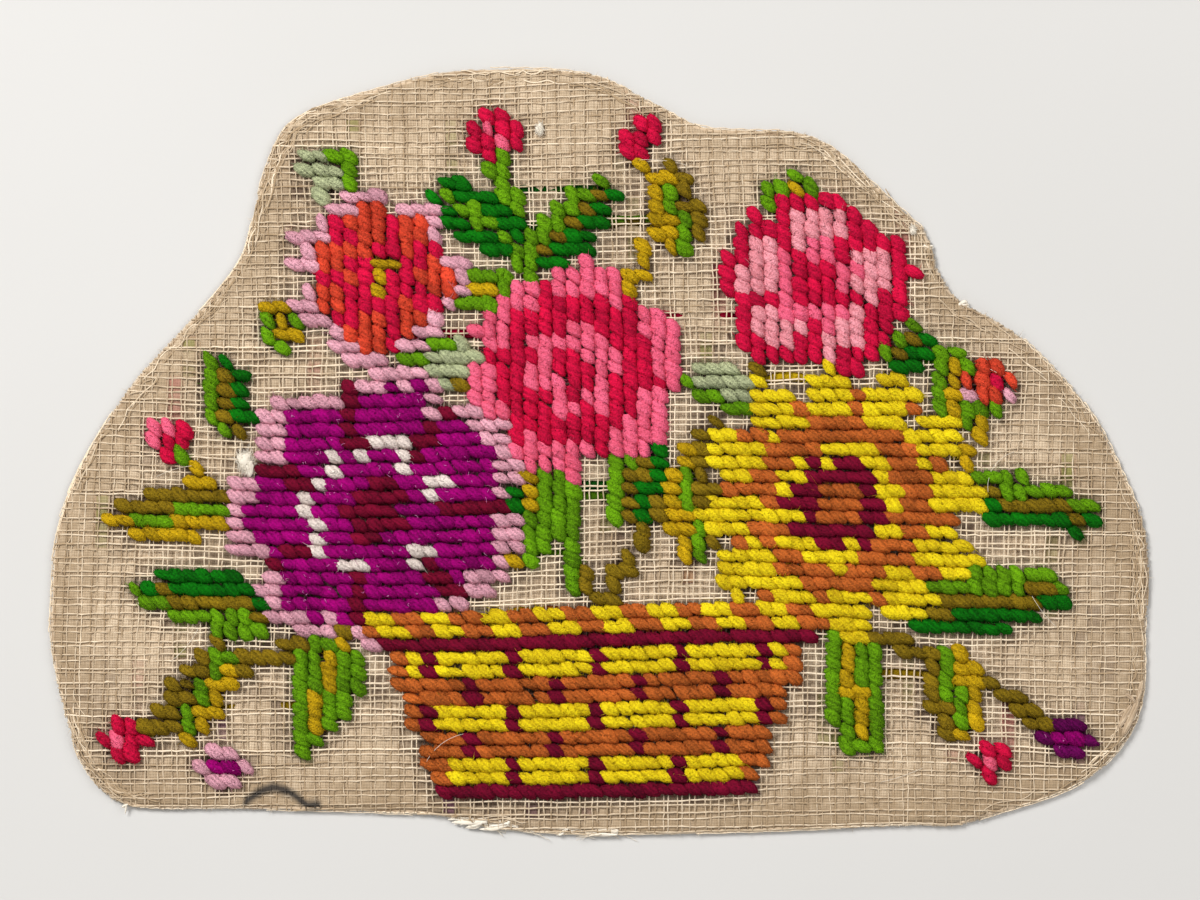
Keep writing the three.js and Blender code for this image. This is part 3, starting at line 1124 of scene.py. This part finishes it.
def edge_thread_paths(rng):
    """Threads that run along the fold: most where the edge runs aslant to the canvas, and in bunches."""
    start = rng.uniform(0, 1, SLANT_THREADS)
    normal = edge_normal(start)
    start = start[rng.uniform(0.1, 1.3, SLANT_THREADS) < np.abs(2 * normal[:, 0] * normal[:, 1])]
    bunches = [rng.uniform(share_near(*first), share_near(*last), count) for first, last, count in BUNCHED]
    start = np.concatenate([start, *bunches])
    count = len(start)
    inset = rng.uniform(0.5, 3.6, count)
    length, stray = rng.uniform(4, 13, count), rng.normal(0, 0.6, count)
    paths = edge_strands(start, length, inset, stray, rng.uniform(-0.05, 0.2, count), EDGE_STATIONS)
    pace = rng.uniform(4, 11, (count, 1)) * np.linspace(0, 1, EDGE_STATIONS) + rng.uniform(0, 6, (count, 1))
    wave = rng.uniform(0.1, 0.55, (count, 1)) * np.sin(pace)
    return paths + np.stack([wave, wave[:, ::-1], 0 * wave], axis=-1)


def rim_thread_paths(rng):
    """Pale threads at the very edge of the fold, each following it for a few centimetres."""
    count = RIM_THREADS
    length, inset = rng.uniform(8, 34, count), rng.uniform(-0.2, 0.35, count)
    start, stray = rng.uniform(0, 1, count), rng.normal(0, 0.25, count)
    paths = edge_strands(start, length, inset, stray, np.zeros(count), RIM_STATIONS)
    paths[..., 2] = RIM_HEIGHT + 0.35 * inset[:, None]
    pace = np.linspace(0, 40, RIM_STATIONS)[:, None] * rng.uniform(0.6, 1.4, (count, 1, 1))
    return paths + 0.09 * np.sin(pace)


edge_rng = np.random.default_rng(41)
paths = edge_thread_paths(edge_rng)
half = np.full(paths.shape[:2], EDGE_THREAD_HALF) * edge_rng.normal(1, 0.2, (len(paths), 1))
rim_paths = rim_thread_paths(edge_rng)
rim_half = np.full(rim_paths.shape[:2], RIM_THREAD_HALF) * edge_rng.normal(1, 0.2, (len(rim_paths), 1))
points, faces, soil = joined(
    with_value(tubes(paths, half, half, 4), edge_rng.normal(0.75, 0.5, len(paths))),
    with_value(tubes(rim_paths, rim_half, rim_half, 4), edge_rng.normal(-0.1, 0.15, len(rim_paths))),
)
make_piece("edge_threads", points, faces, canvas_thread, soil=soil)

# %% Tucks
TUCKS = [
    # x, y of each end, half width: where the folded cloth is gathered at the lower right corner
    (122.1, -56.4, 118.7, -64.4, 0.85),
    (120.6, -57.4, 117.7, -62.6, 0.75),
    (123.2, -51.8, 121.8, -57.2, 0.6),
    (119.2, -54.8, 121.6, -57.0, 0.55),
    (117.6, -59.8, 119.9, -58.6, 0.45),
]
TUCK_SIDES = 10


def tuck_paths():
    """Centre lines of the tucks, slightly bowed in plan and lying on the canvas."""
    x0, y0, x1, y1, _ = np.array(TUCKS).T[..., None]
    t = np.linspace(0, 1, EDGE_STATIONS)
    x, y = x0 + (x1 - x0) * t, y0 + (y1 - y0) * t + 0.25 * np.sin(np.pi * t)
    return np.stack([x, y, resting(x, y, 0.1)], axis=-1)


paths = tuck_paths()
half = np.array(TUCKS)[:, 4:] * np.sin(np.pi * np.linspace(0.06, 0.96, EDGE_STATIONS)) ** 0.5
around = 2 * np.pi * np.arange(TUCK_SIDES) / TUCK_SIDES
make_piece(
    "edge_tucks", *tubes(paths, half, 0.42 * half, TUCK_SIDES), hem_cloth,
    along=np.tile(np.repeat(np.linspace(0, 2, EDGE_STATIONS), TUCK_SIDES), len(paths)),
    round=np.tile(1.6 * np.cos(around), EDGE_STATIONS * len(paths)),
)

# %% The frayed stretch
SHREDS = [
    # x, y of the root and of the tip, half width: torn ends of cloth at the bottom, a corner and the right
    (-24.0, -83.2, -33.6, -83.0, 0.50),
    (-25.5, -83.8, -33.2, -84.4, 0.45),
    (-26.5, -84.0, -30.5, -85.3, 0.30),
    (-20.4, -84.2, -27.0, -85.2, 0.42),
    (-7.2, -85.6, -9.9, -87.1, 0.20),
    (4.2, -86.2, -3.6, -86.8, 0.34),
    (-107.3, -79.8, -107.6, -82.0, 0.14),
    (-107.0, -79.8, -108.7, -80.7, 0.12),
    (73.4, 46.5, 76.0, 46.2, 0.26),
    (81.4, 33.4, 83.9, 33.2, 0.30),
]
SHRED_STRANDS = 6  # in each shred
SHRED_PROFILE = np.array([0.7, 0.9, 1.0, 1.1, 1.1, 1.2, 1.1, 1.0, 0.9, 0.7, 0.5, 0.2])  # root to tip
FRAYED_FROM, FRAYED_TO = (-34, -84), (5, -87)
FRAYS = 44  # loose ends there


def shred_paths(rng):
    """Each shred as a few strands side by side, together at the root and apart at the tip."""
    x0, y0, x1, y1, half = np.repeat(np.array(SHREDS), SHRED_STRANDS, axis=0).T[..., None]
    t = np.linspace(0, 1, EDGE_STATIONS)
    count = len(half)
    aside = half * (rng.normal(0, 0.6, (count, 1)) + rng.normal(0, 0.9, (count, 1)) * t**2)
    aside = aside + rng.normal(0, 0.35, (count, 1)) * np.sin(np.pi * t) + 0.12 * np.sin(7 * t + 30 * half)
    t = t * rng.uniform(0.7, 1.1, (count, 1))
    x, y = x0 + (x1 - x0) * t + 0.3 * aside, y0 + (y1 - y0) * t + aside
    z = MARGIN_HEIGHT - 0.75 * t + rng.uniform(-0.2, 0.2, (count, 1)) + 0.1 * np.sin(5 * t + 6 * aside)
    return np.stack([x, y, z], axis=-1), half


def frayed_paths(rng):
    """Loose ends of the bottom edge: they leave it in both directions and hang out a little way."""
    count = FRAYS
    start = rng.uniform(share_near(*FRAYED_FROM), share_near(*FRAYED_TO), count)
    length = rng.uniform(2, 7, count) * rng.choice([-1, 1], count, p=[0.6, 0.4])
    inset, stray = rng.uniform(-0.2, 1.2, count), rng.gamma(1.5, 0.4, count)
    paths = edge_strands(start, length, inset, stray, rng.normal(-0.2, 0.25, count), EDGE_STATIONS)
    paths[..., 2] = np.maximum(paths[..., 2], 0.3)
    return paths + rng.normal(0, 0.06, paths.shape)


frayed_thread = thread_finish("frayed_thread", (238, 229, 213), (204, 189, 166))
paths, half = shred_paths(edge_rng)
wide = half * SHRED_PROFILE * edge_rng.uniform(0.6, 1.3, (len(paths), 1))
loose = frayed_paths(edge_rng)
thin = np.linspace(0.15, 0.05, EDGE_STATIONS) * edge_rng.uniform(0.6, 1.3, (len(loose), 1))
points, faces, soil = joined(
    with_value(tubes(paths, wide, 0.35 * wide, 6), edge_rng.normal(0.0, 0.25, len(paths))),
    with_value(tubes(loose, thin, thin, 4), edge_rng.normal(0.3, 0.25, len(loose))),
)
make_piece("frayed_edge", points, faces, frayed_thread, soil=soil)

# %% Fibres along the edge
EDGE_FIBRES, EDGE_FIBRE_HALF = 900, 0.07


def edge_fuzz(count, rng):
    """Spikes of fibre all round the fold, short and pointing outwards, some along the edge."""
    share = rng.uniform(0, 1, count)
    out = edge_normal(share)
    along = np.stack([-out[:, 1], out[:, 0]], axis=1)
    root = np.concatenate([edge_at(share) - 0.25 * out, rng.uniform(0.5, 1.3, (count, 1))], axis=1)
    flat = out * rng.gamma(2, 0.25, (count, 1)) + along * rng.normal(0, 0.5, (count, 1))
    return spikes(root, np.concatenate([flat, rng.normal(0, 0.2, (count, 1))], axis=1), EDGE_FIBRE_HALF)


points, faces = edge_fuzz(EDGE_FIBRES, edge_rng)
soil = np.repeat(edge_rng.normal(0.2, 0.2, EDGE_FIBRES), 4)
make_piece("edge_fuzz", points, [faces], canvas_thread, soil=soil)

# %% [markdown]
# ## The wool
# Each stitch is a short fat strand that comes up through one window, leans over a crossing and goes
# down through the next. All lean the same way. Thick wool spreads until it meets its neighbours, so
# stitches of one wool close into ropes, along their row or up their column, with a thin dark line between
# the ropes. A tube would leave beads, so a stitch is a strand whose section is drawn out along the rope:
# seen from above it is a leaning block with round corners that fills its place.

# %% How stitches lie
LAYS = np.array([
    # reach across and up from the crossing (in stitches), spread in mm, its direction in degrees
    (0.52, 0.50, 1.25, 45),  # alone
    (0.31, 0.54, 2.14, 0),  # in a row
    (0.60, 0.32, 1.98, 90),  # in a column
])


def lay_of(letter, row, column):
    """Row of LAYS for each stitch of a wool. With a neighbour of any wool that closes the same way it lies
    in that rope, otherwise with one of its own wool it lies in the other, and with none it is alone."""
    closing = WOOLS[letter][2]
    alike = [other for other, (_, _, way) in WOOLS.items() if way == closing]
    group = np.pad(np.isin(chart, alike) & worked, 1)
    own = np.pad((chart == letter) & worked, 1)
    in_row, in_column = (group, own) if closing == "rows" else (own, group)
    beside = in_row[row + 1, column] | in_row[row + 1, column + 2]
    above = in_column[row, column + 1] | in_column[row + 2, column + 1]
    if closing == "rows":
        return LAYS[np.where(beside, 1, np.where(above, 2, 0))]
    return LAYS[np.where(above, 2, np.where(beside, 1, 0))]


print("first wool:", len(lay_of("Y", *np.nonzero((chart == "Y") & worked))), "stitches laid")

# %% One stitch and many
STITCH_MARKS = np.array([-1, -0.86, -0.5, 0, 0.5, 0.86, 1])  # stations along a stitch, close at its ends
SECTION = np.array([
    # across and up, in half widths and half heights, from one end round the top: two plies, flat below
    (1.0, 0.30), (0.54, 1.0), (0.0, 0.88), (-0.54, 1.0),
    (-1.0, 0.30), (-0.7, -1.0), (0.0, -1.0), (0.7, -1.0),
])
STITCH_STATIONS, STITCH_SIDES = len(STITCH_MARKS), len(SECTION)
WOOL_HALF_HEIGHT = 0.74
WOOL_CREST = 0.84  # how far the middle of the wool stands above the canvas
STITCH_FOOT = 0.4  # how far below the canvas its ends are
STITCH_TAPER = 0.60  # share of its section that a stitch loses at its ends
PLY_LEAN = 0.9  # how far the plies lean over between the ends of a stitch, in mm


def stitch_paths(u, v, lay, rng):
    """Centre lines of stitches over crossings: from upper left to lower right, rising from under the
    canvas to a crest and down again as 1 less a power of the share from the middle."""
    count = len(u)
    t = STITCH_MARKS
    lean = rng.normal(1, 0.11, (2, count, 1)) * lay[:, :2].T[..., None]
    shift = rng.normal(0, 0.045, (2, count, 1))
    bow = rng.normal(0, 0.04, (count, 1)) * (1 - t**2)
    x, y = lattice(u[:, None] + lean[0] * t + shift[0] + bow, v[:, None] - lean[1] * t + shift[1] + bow)
    base = canvas_height(u, v, *lattice(u, v))[:, None]
    crest = (WOOL_CREST + STITCH_FOOT) * rng.normal(1, 0.08, (count, 1))
    return np.stack([x, y, base - STITCH_FOOT + crest * (1 - np.abs(t) ** 3.2)], axis=-1)


def stitch_rings(paths, lay, rng):
    """Sections of stitches, drawn out along the rope and upwards, smaller at both ends and a little rough.
    Also each point's place across and along its plies, in mm."""
    across, up = SECTION.T
    t = STITCH_MARKS
    stout = rng.normal(1, 0.08, (len(paths), 1, 1)) * (1 - STITCH_TAPER * np.abs(t) ** 2.4)[:, None]
    stout = stout * rng.normal(1, 0.06, (len(paths), STITCH_STATIONS, STITCH_SIDES))
    wide = lay[:, 2, None, None] * across * stout
    turn = np.radians(lay[:, 3])
    out = -np.stack([np.cos(turn), np.sin(turn)], axis=1)
    rings = np.repeat(paths[:, :, None], STITCH_SIDES, axis=2)
    rings[..., :2] += out[:, None, None] * wide[..., None]
    rings[..., 2] += WOOL_HALF_HEIGHT * up * stout
    ply = wide + PLY_LEAN * np.cos(turn)[:, None, None] * t[:, None]
    return rings, ply, np.broadcast_to(2 * t[:, None], wide.shape)


print("a stitch has", STITCH_STATIONS, "stations of", STITCH_SIDES, "points")

# %% Loose fibres
FUZZ, FUZZ_HALF = 26, 0.08  # short fibres on a stitch, and half their width
HAIRS, HAIR_HALF = 3, (0.075, 0.025)  # longer ones, and half their width at root and tip
HAIR_STATIONS = 3
STITCH_WAY = np.array([0.72, -0.69, 0.0])  # which way stitches run


def fuzz_spikes(rings, rng):
    """Short fibres of the upper side: a root blended from four points of a stitch's surface, reaching
    partly out from its middle and partly any way."""
    count = len(rings) * FUZZ
    which = np.repeat(np.arange(len(rings)), FUZZ)
    station = rng.integers(0, STITCH_STATIONS - 1, count)
    side = rng.integers(0, STITCH_SIDES // 2, count)
    s, t = rng.uniform(0, 1, (2, count, 1))
    near = rings[which, station, side] * (1 - s) + rings[which, station, side + 1] * s
    far = rings[which, station + 1, side] * (1 - s) + rings[which, station + 1, side + 1] * s
    root = near * (1 - t) + far * t
    away = unit(root - rings[which, STITCH_STATIONS // 2].mean(axis=1))
    reach = 0.45 * away + rng.normal(0, 0.75, (count, 3)) * np.array([1, 1, 0.4])
    return spikes(root - 0.06 * away, reach, FUZZ_HALF)


def hair_paths(rings, rng):
    """Loose fibres: each leaves a point of a stitch's upper side, goes partly along it and bends over."""
    count = len(rings) * HAIRS
    which = np.repeat(np.arange(len(rings)), HAIRS)
    station = rng.integers(1, STITCH_STATIONS - 1, count)
    side = rng.integers(0, STITCH_SIDES // 2 + 1, count)
    root = rings[which, station, side]
    away = unit(root - rings[which, STITCH_STATIONS // 2].mean(axis=1))
    go = away * 0.35 + STITCH_WAY * rng.normal(0, 0.9, (count, 1)) + rng.normal(0, 0.3, (count, 3))
    curl = rng.normal(0, 0.45, (count, 3)) - np.array([0, 0, 0.15])
    t = np.linspace(0, 1, HAIR_STATIONS)[None, :, None]
    length = rng.uniform(0.5, 1.4, (count, 1, 1))
    return root[:, None] - 0.05 * away[:, None] + length * (go[:, None] * t + curl[:, None] * t**2)


print("each stitch gets", FUZZ, "short fibres and", HAIRS, "longer ones")

# %% Yarn carried behind
FLOAT_PROFILE = np.array([0.5, 1.1, 1.2, 1.0, 1.1, 0.5])  # half width of carried yarn along its way
FLOAT_STATIONS = len(FLOAT_PROFILE)
FLOAT_DEPTH = 0.95  # how far it lies below the canvas
SHORTEST_FLOAT, LONGEST_FLOAT = 3, 9  # crossings from stitch to stitch
FLOAT_CHANCE = 0.3  # share of such gaps that the yarn crosses


def float_paths(row, column, rng):
    """Yarn carried behind the canvas, here and there, from one stitch to the next of its wool in a row
    that is a few crossings further on. np.nonzero has put the stitches in order along each row."""
    gap = np.diff(column)
    jump = (np.diff(row) == 0) & (gap >= SHORTEST_FLOAT) & (gap <= LONGEST_FLOAT)
    jump &= rng.uniform(size=len(jump)) < FLOAT_CHANCE
    start, end = column[:-1][jump] - HALF_ACROSS + 0.4, column[1:][jump] - HALF_ACROSS - 0.4
    t = np.linspace(0, 1, FLOAT_STATIONS)
    u = start[:, None] + (end - start)[:, None] * t
    v = (row[:-1][jump] - HALF_UP)[:, None] + rng.normal(0, 0.25, (len(start), 1)) + 0.3 * np.sin(3 * t)
    x, y = lattice(u, v)
    return np.stack([x, y, canvas_height(u, v, x, y) - FLOAT_DEPTH], axis=-1)


print("yarn is carried over gaps of", SHORTEST_FLOAT, "to", LONGEST_FLOAT, "crossings")

# %% The wool pieces
LOWEST_FIBRE = 0.4  # fibres stay this far above the table


def plain_tubes(paths, half_width, half_height, sides, tones):
    """tubes with the values that wool carries: a tone for each strand, and its place across and along."""
    points, faces, tone = with_value(tubes(paths, half_width, half_height, sides), tones)
    across = np.tile(np.arange(sides), len(points) // sides)
    along = np.repeat(np.arange(len(points) // sides), sides)
    return points, faces, tone, across, along


def wool_piece(letter):
    """All stitches of one wool, their loose fibres and the yarn carried behind, as one mesh."""
    name, colour, _ = WOOLS[letter]
    rng = np.random.default_rng(ord(letter))
    mine = (chart == letter) & worked
    row, column = np.nonzero(mine)
    u, v = (column - HALF_ACROSS).astype(float), (row - HALF_UP).astype(float)
    lay = lay_of(letter, row, column)
    rings, across, along = stitch_rings(stitch_paths(u, v, lay, rng), lay, rng)
    faces = even_strands(len(u), STITCH_STATIONS, STITCH_SIDES)
    each = rings[0, ..., 0].size
    own = rng.uniform(0, 500, (len(u), 1, 1))
    tone = np.repeat(rng.normal(0.5, 0.08, len(u)), each)
    hairs = hair_paths(rings, rng)
    thin = np.broadcast_to(np.linspace(*HAIR_HALF, HAIR_STATIONS), hairs.shape[:2])
    fuzz_points, fuzz_faces = fuzz_spikes(rings, rng)
    # painted highlight: short fibres lighter than their stitches on average, a pale halo round the wool,
    # varied at random
    fuzz_highlight_tone = np.repeat(rng.normal(0.65, 0.25, len(fuzz_points) // 4), 4)
    fuzz_place = np.arange(len(fuzz_points))
    carried = float_paths(row, column, rng)
    fat = np.broadcast_to(FLOAT_PROFILE, carried.shape[:2])
    points, faces, tone, across, along = joined(
        (rings.reshape(-1, 3), faces, tone, (across + own).ravel(), (0.28 * along + own).ravel()),
        plain_tubes(hairs, thin, thin, 3, rng.normal(0.7, 0.2, len(hairs))),
        (fuzz_points, [fuzz_faces], fuzz_highlight_tone, fuzz_place, fuzz_place),
        # painted shade: the carried yarn gets a low tone, darker than the stitches, as it lies behind the
        # canvas
        plain_tubes(carried, fat, 0.4 * fat, 6, np.full(len(carried), -0.1)),
    )
    points[:, 2] = np.maximum(points[:, 2], LOWEST_FIBRE)
    finish = wool_finish("wool_" + name, colour)
    make_piece("wool_" + name, points, faces, finish, tone=tone, across=across, along=along)


for letter in WOOLS:
    wool_piece(letter)

# %% [markdown]
# ## Lint
# Years of handling leave their marks: tufts of white wadding have worked through the canvas, a few long
# hairs lie on it, and pale flecks cling to the darkest wools. A tuft could be one soft lump, but its edge
# is a haze, so it is a few fat short strands pressed together, with many fine fibres round them.

# %% Tufts
TUFTS = [(-80.2, -2.4, 2.0), (-13.6, 73.2, 1.0), (71.0, 50.4, 0.7)]  # x, y, size in mm
TUFT_STATIONS = 7
LUMPS, HAZE = 10, 240  # fat strands and fine fibres in a tuft
FIBRE_HALF = 0.06


def tuft_paths(x, y, size, count, spread, reach, rng):
    """Strands near a place, each from a start within spread of it, going about reach and curling, all in
    tuft sizes and flattened towards the cloth."""
    start, go, curl = rng.normal(0, 1, (3, count, 3)) * np.array([0.75, 1.1, 0.22]) * size
    t = np.linspace(-1, 1, TUFT_STATIONS)[None, :, None]
    paths = spread * start[:, None] + reach * (go[:, None] * t + 0.7 * curl[:, None] * t**2)
    paths[..., 2] = np.abs(paths[..., 2])
    return paths + np.array([x, y, resting(np.float64(x), np.float64(y), 0.5)])


lint_rng = np.random.default_rng(51)
lumps = np.concatenate([tuft_paths(*row, LUMPS, 0.26, 0.3, lint_rng) for row in TUFTS])
haze = np.concatenate([tuft_paths(*row, HAZE, 0.45, 0.5, lint_rng) for row in TUFTS])
taper = np.sqrt(1.02 - np.linspace(-1, 1, TUFT_STATIONS) ** 2)
fat = np.repeat([size for _, _, size in TUFTS], LUMPS)[:, None] * 0.62 * taper
thin = np.broadcast_to(FIBRE_HALF * taper, haze.shape[:2])
white = thread_finish("white_wadding", (222, 213, 197), (206, 195, 176))
make_piece("white_tufts", *joined(tubes(lumps, fat, 0.35 * fat, 10), tubes(haze, thin, thin, 3)), white)

# %% Long hairs
LONG_HAIRS = [
    # x, y, length, direction in degrees
    (-101, -6, 9, 30), (63, -75, 10, 12), (88, -10, 12, 100), (-98, -48, 10, 35),
    (8, 66, 11, 5), (88, 19, 7, -30), (-40, -72, 12, 70), (104, -40, 9, 140),
]
LONG_HAIR_STATIONS = 14


def long_hair_paths(rng):
    """Fine hairs lying on the work, each an arc that bends to one side."""
    x, y, length, direction = np.array(LONG_HAIRS, float).T[..., None]
    t = np.linspace(0, 1, LONG_HAIR_STATIONS)
    heading = np.radians(direction) + rng.normal(0, 0.9, x.shape) * t
    step = length / (LONG_HAIR_STATIONS - 1)
    at_x, at_y = x + np.cumsum(np.cos(heading), 1) * step, y + np.cumsum(np.sin(heading), 1) * step
    wool = near_crossing(softened(worked, 1), at_x / PITCH_X, at_y / PITCH_Y)
    return np.stack([at_x, at_y, resting(at_x, at_y, 0.35 + 1.5 * wool)], axis=-1)


def fine_piece(name, paths, half, finish):
    """A piece of three-sided fibres along paths, all as thick as each other."""
    half = np.full(paths.shape[:2], half)
    make_piece(name, *tubes(paths, half, half, 3), finish)


fine_piece("long_hairs", long_hair_paths(lint_rng), FIBRE_HALF, frayed_thread)

# %% Flecks
FLECKS = 110
FLECK_STATIONS = 5
FLECK_HALF = 0.05
FLECK_LIFT = 1.55  # how far above the canvas the top of a stitch is


def fleck_paths(rng):
    """Short pale fibres that cling to the darkest wools: curls of about a millimetre on top of a stitch."""
    row, column = np.nonzero(np.isin(chart, list("PV")) & worked)
    pick = rng.integers(0, len(row), FLECKS)
    aside, above = rng.normal(0, 0.3, (2, FLECKS))
    x, y = lattice(column[pick] - HALF_ACROSS + aside, row[pick] - HALF_UP + above)
    root = np.stack([x, y, resting(x, y, FLECK_LIFT)], axis=-1)
    go, curl = rng.normal(0, 0.24, (2, FLECKS, 1, 3)) * np.array([1, 1, 0.12])
    t = np.linspace(-1, 1, FLECK_STATIONS)[:, None]
    return root[:, None] + go * t + curl * t**2


pale_lint = thread_finish("pale_lint", (216, 136, 190), (188, 106, 160))
fine_piece("lint_flecks", fleck_paths(lint_rng), FLECK_HALF, pale_lint)

# %% [markdown]
# ## Floor, light and camera
# The sampler lies on a plain pale table and is seen from straight above. A large soft lamp from the
# upper left shows the relief of the stitches, and weaker ones fill the shadows.

# %% Floor
FLOOR_HALF = 3000.0
FLOOR_HEIGHT = -0.05  # just clear of what rests on it


def floor_finish():
    """Plain pale board with a faint mottle."""
    finish = Finish("pale_floor", 0.8, 0.0)
    finish.paint(finish.between(finish.noise(8, 2), (196, 194, 190), (202, 200, 197)))
    return finish.material


floor_corners = np.array([(-1, -1, 0), (1, -1, 0), (1, 1, 0), (-1, 1, 0)]) * FLOOR_HALF
floor_points = floor_corners + np.array([0, 0, FLOOR_HEIGHT])
floor = make_piece("floor", floor_points, [np.array([[0, 1, 2, 3]])], floor_finish())
pieces.pop("floor")

# %% Lamps
ROOM_LIGHT = 0.2
LAMPS = [
    # name, place in mm, width, power in watts
    ("key_lamp", (-760, 760, 1050), 560, 27.0),
    ("fill_lamp", (900, 260, 950), 900, 7.8),
    ("low_lamp", (-100, -1000, 700), 900, 4.0),
]


def lamp(name, place, width, power):
    """A square lamp that faces the middle of the sampler."""
    light = bpy.data.lights.new(name, "AREA")
    light.energy = power
    light.size = width * MM
    made = bpy.data.objects.new(name, light)
    made.location = np.array(place) * MM
    made.rotation_euler = (-made.location).to_track_quat("-Z", "Y").to_euler()
    bpy.context.scene.collection.objects.link(made)


for row in LAMPS:
    lamp(*row)

world = bpy.data.worlds.new("soft_room")
world.use_nodes = True
sky = world.node_tree.nodes["Background"]
sky.inputs["Color"].default_value = (1, 1, 1, 1)
sky.inputs["Strength"].default_value = ROOM_LIGHT
bpy.context.scene.world = world
bpy.context.scene.view_settings.view_transform = "Standard"
print(len(LAMPS), "lamps,", sum(row[3] for row in LAMPS), "watts")

# %% Camera
IMAGE_WIDE = 1200  # pixels across the picture
PIXELS_PER_MM = 4.4  # at the sampler
FRAME_ACROSS = IMAGE_WIDE / PIXELS_PER_MM  # width of the picture at the sampler, in mm
FRAME_MIDDLE = (0.1, 0.45)  # the picture's middle on the sampler, in mm
LENS, SENSOR = 100.0, 36.0

eye = bpy.data.cameras.new("camera")
eye.lens = LENS
eye.sensor_width = SENSOR
eye.clip_start, eye.clip_end = 0.01, 20
camera = bpy.data.objects.new("camera", eye)
camera.location = (FRAME_MIDDLE[0] * MM, FRAME_MIDDLE[1] * MM, FRAME_ACROSS * LENS / SENSOR * MM)
bpy.context.scene.collection.objects.link(camera)
bpy.context.scene.camera = camera
print("camera at", round(camera.location.z, 3), "m")

# %% [markdown]
# ## What stands for what
# Every piece rides on the one body of the row. The backing sheet stands for the CAD backing, and the canvas
# net with its hem for the CAD canvas.


for name, piece in pieces.items():
    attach(piece, "root")
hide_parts("backing_cloth")
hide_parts("canvas_panel")
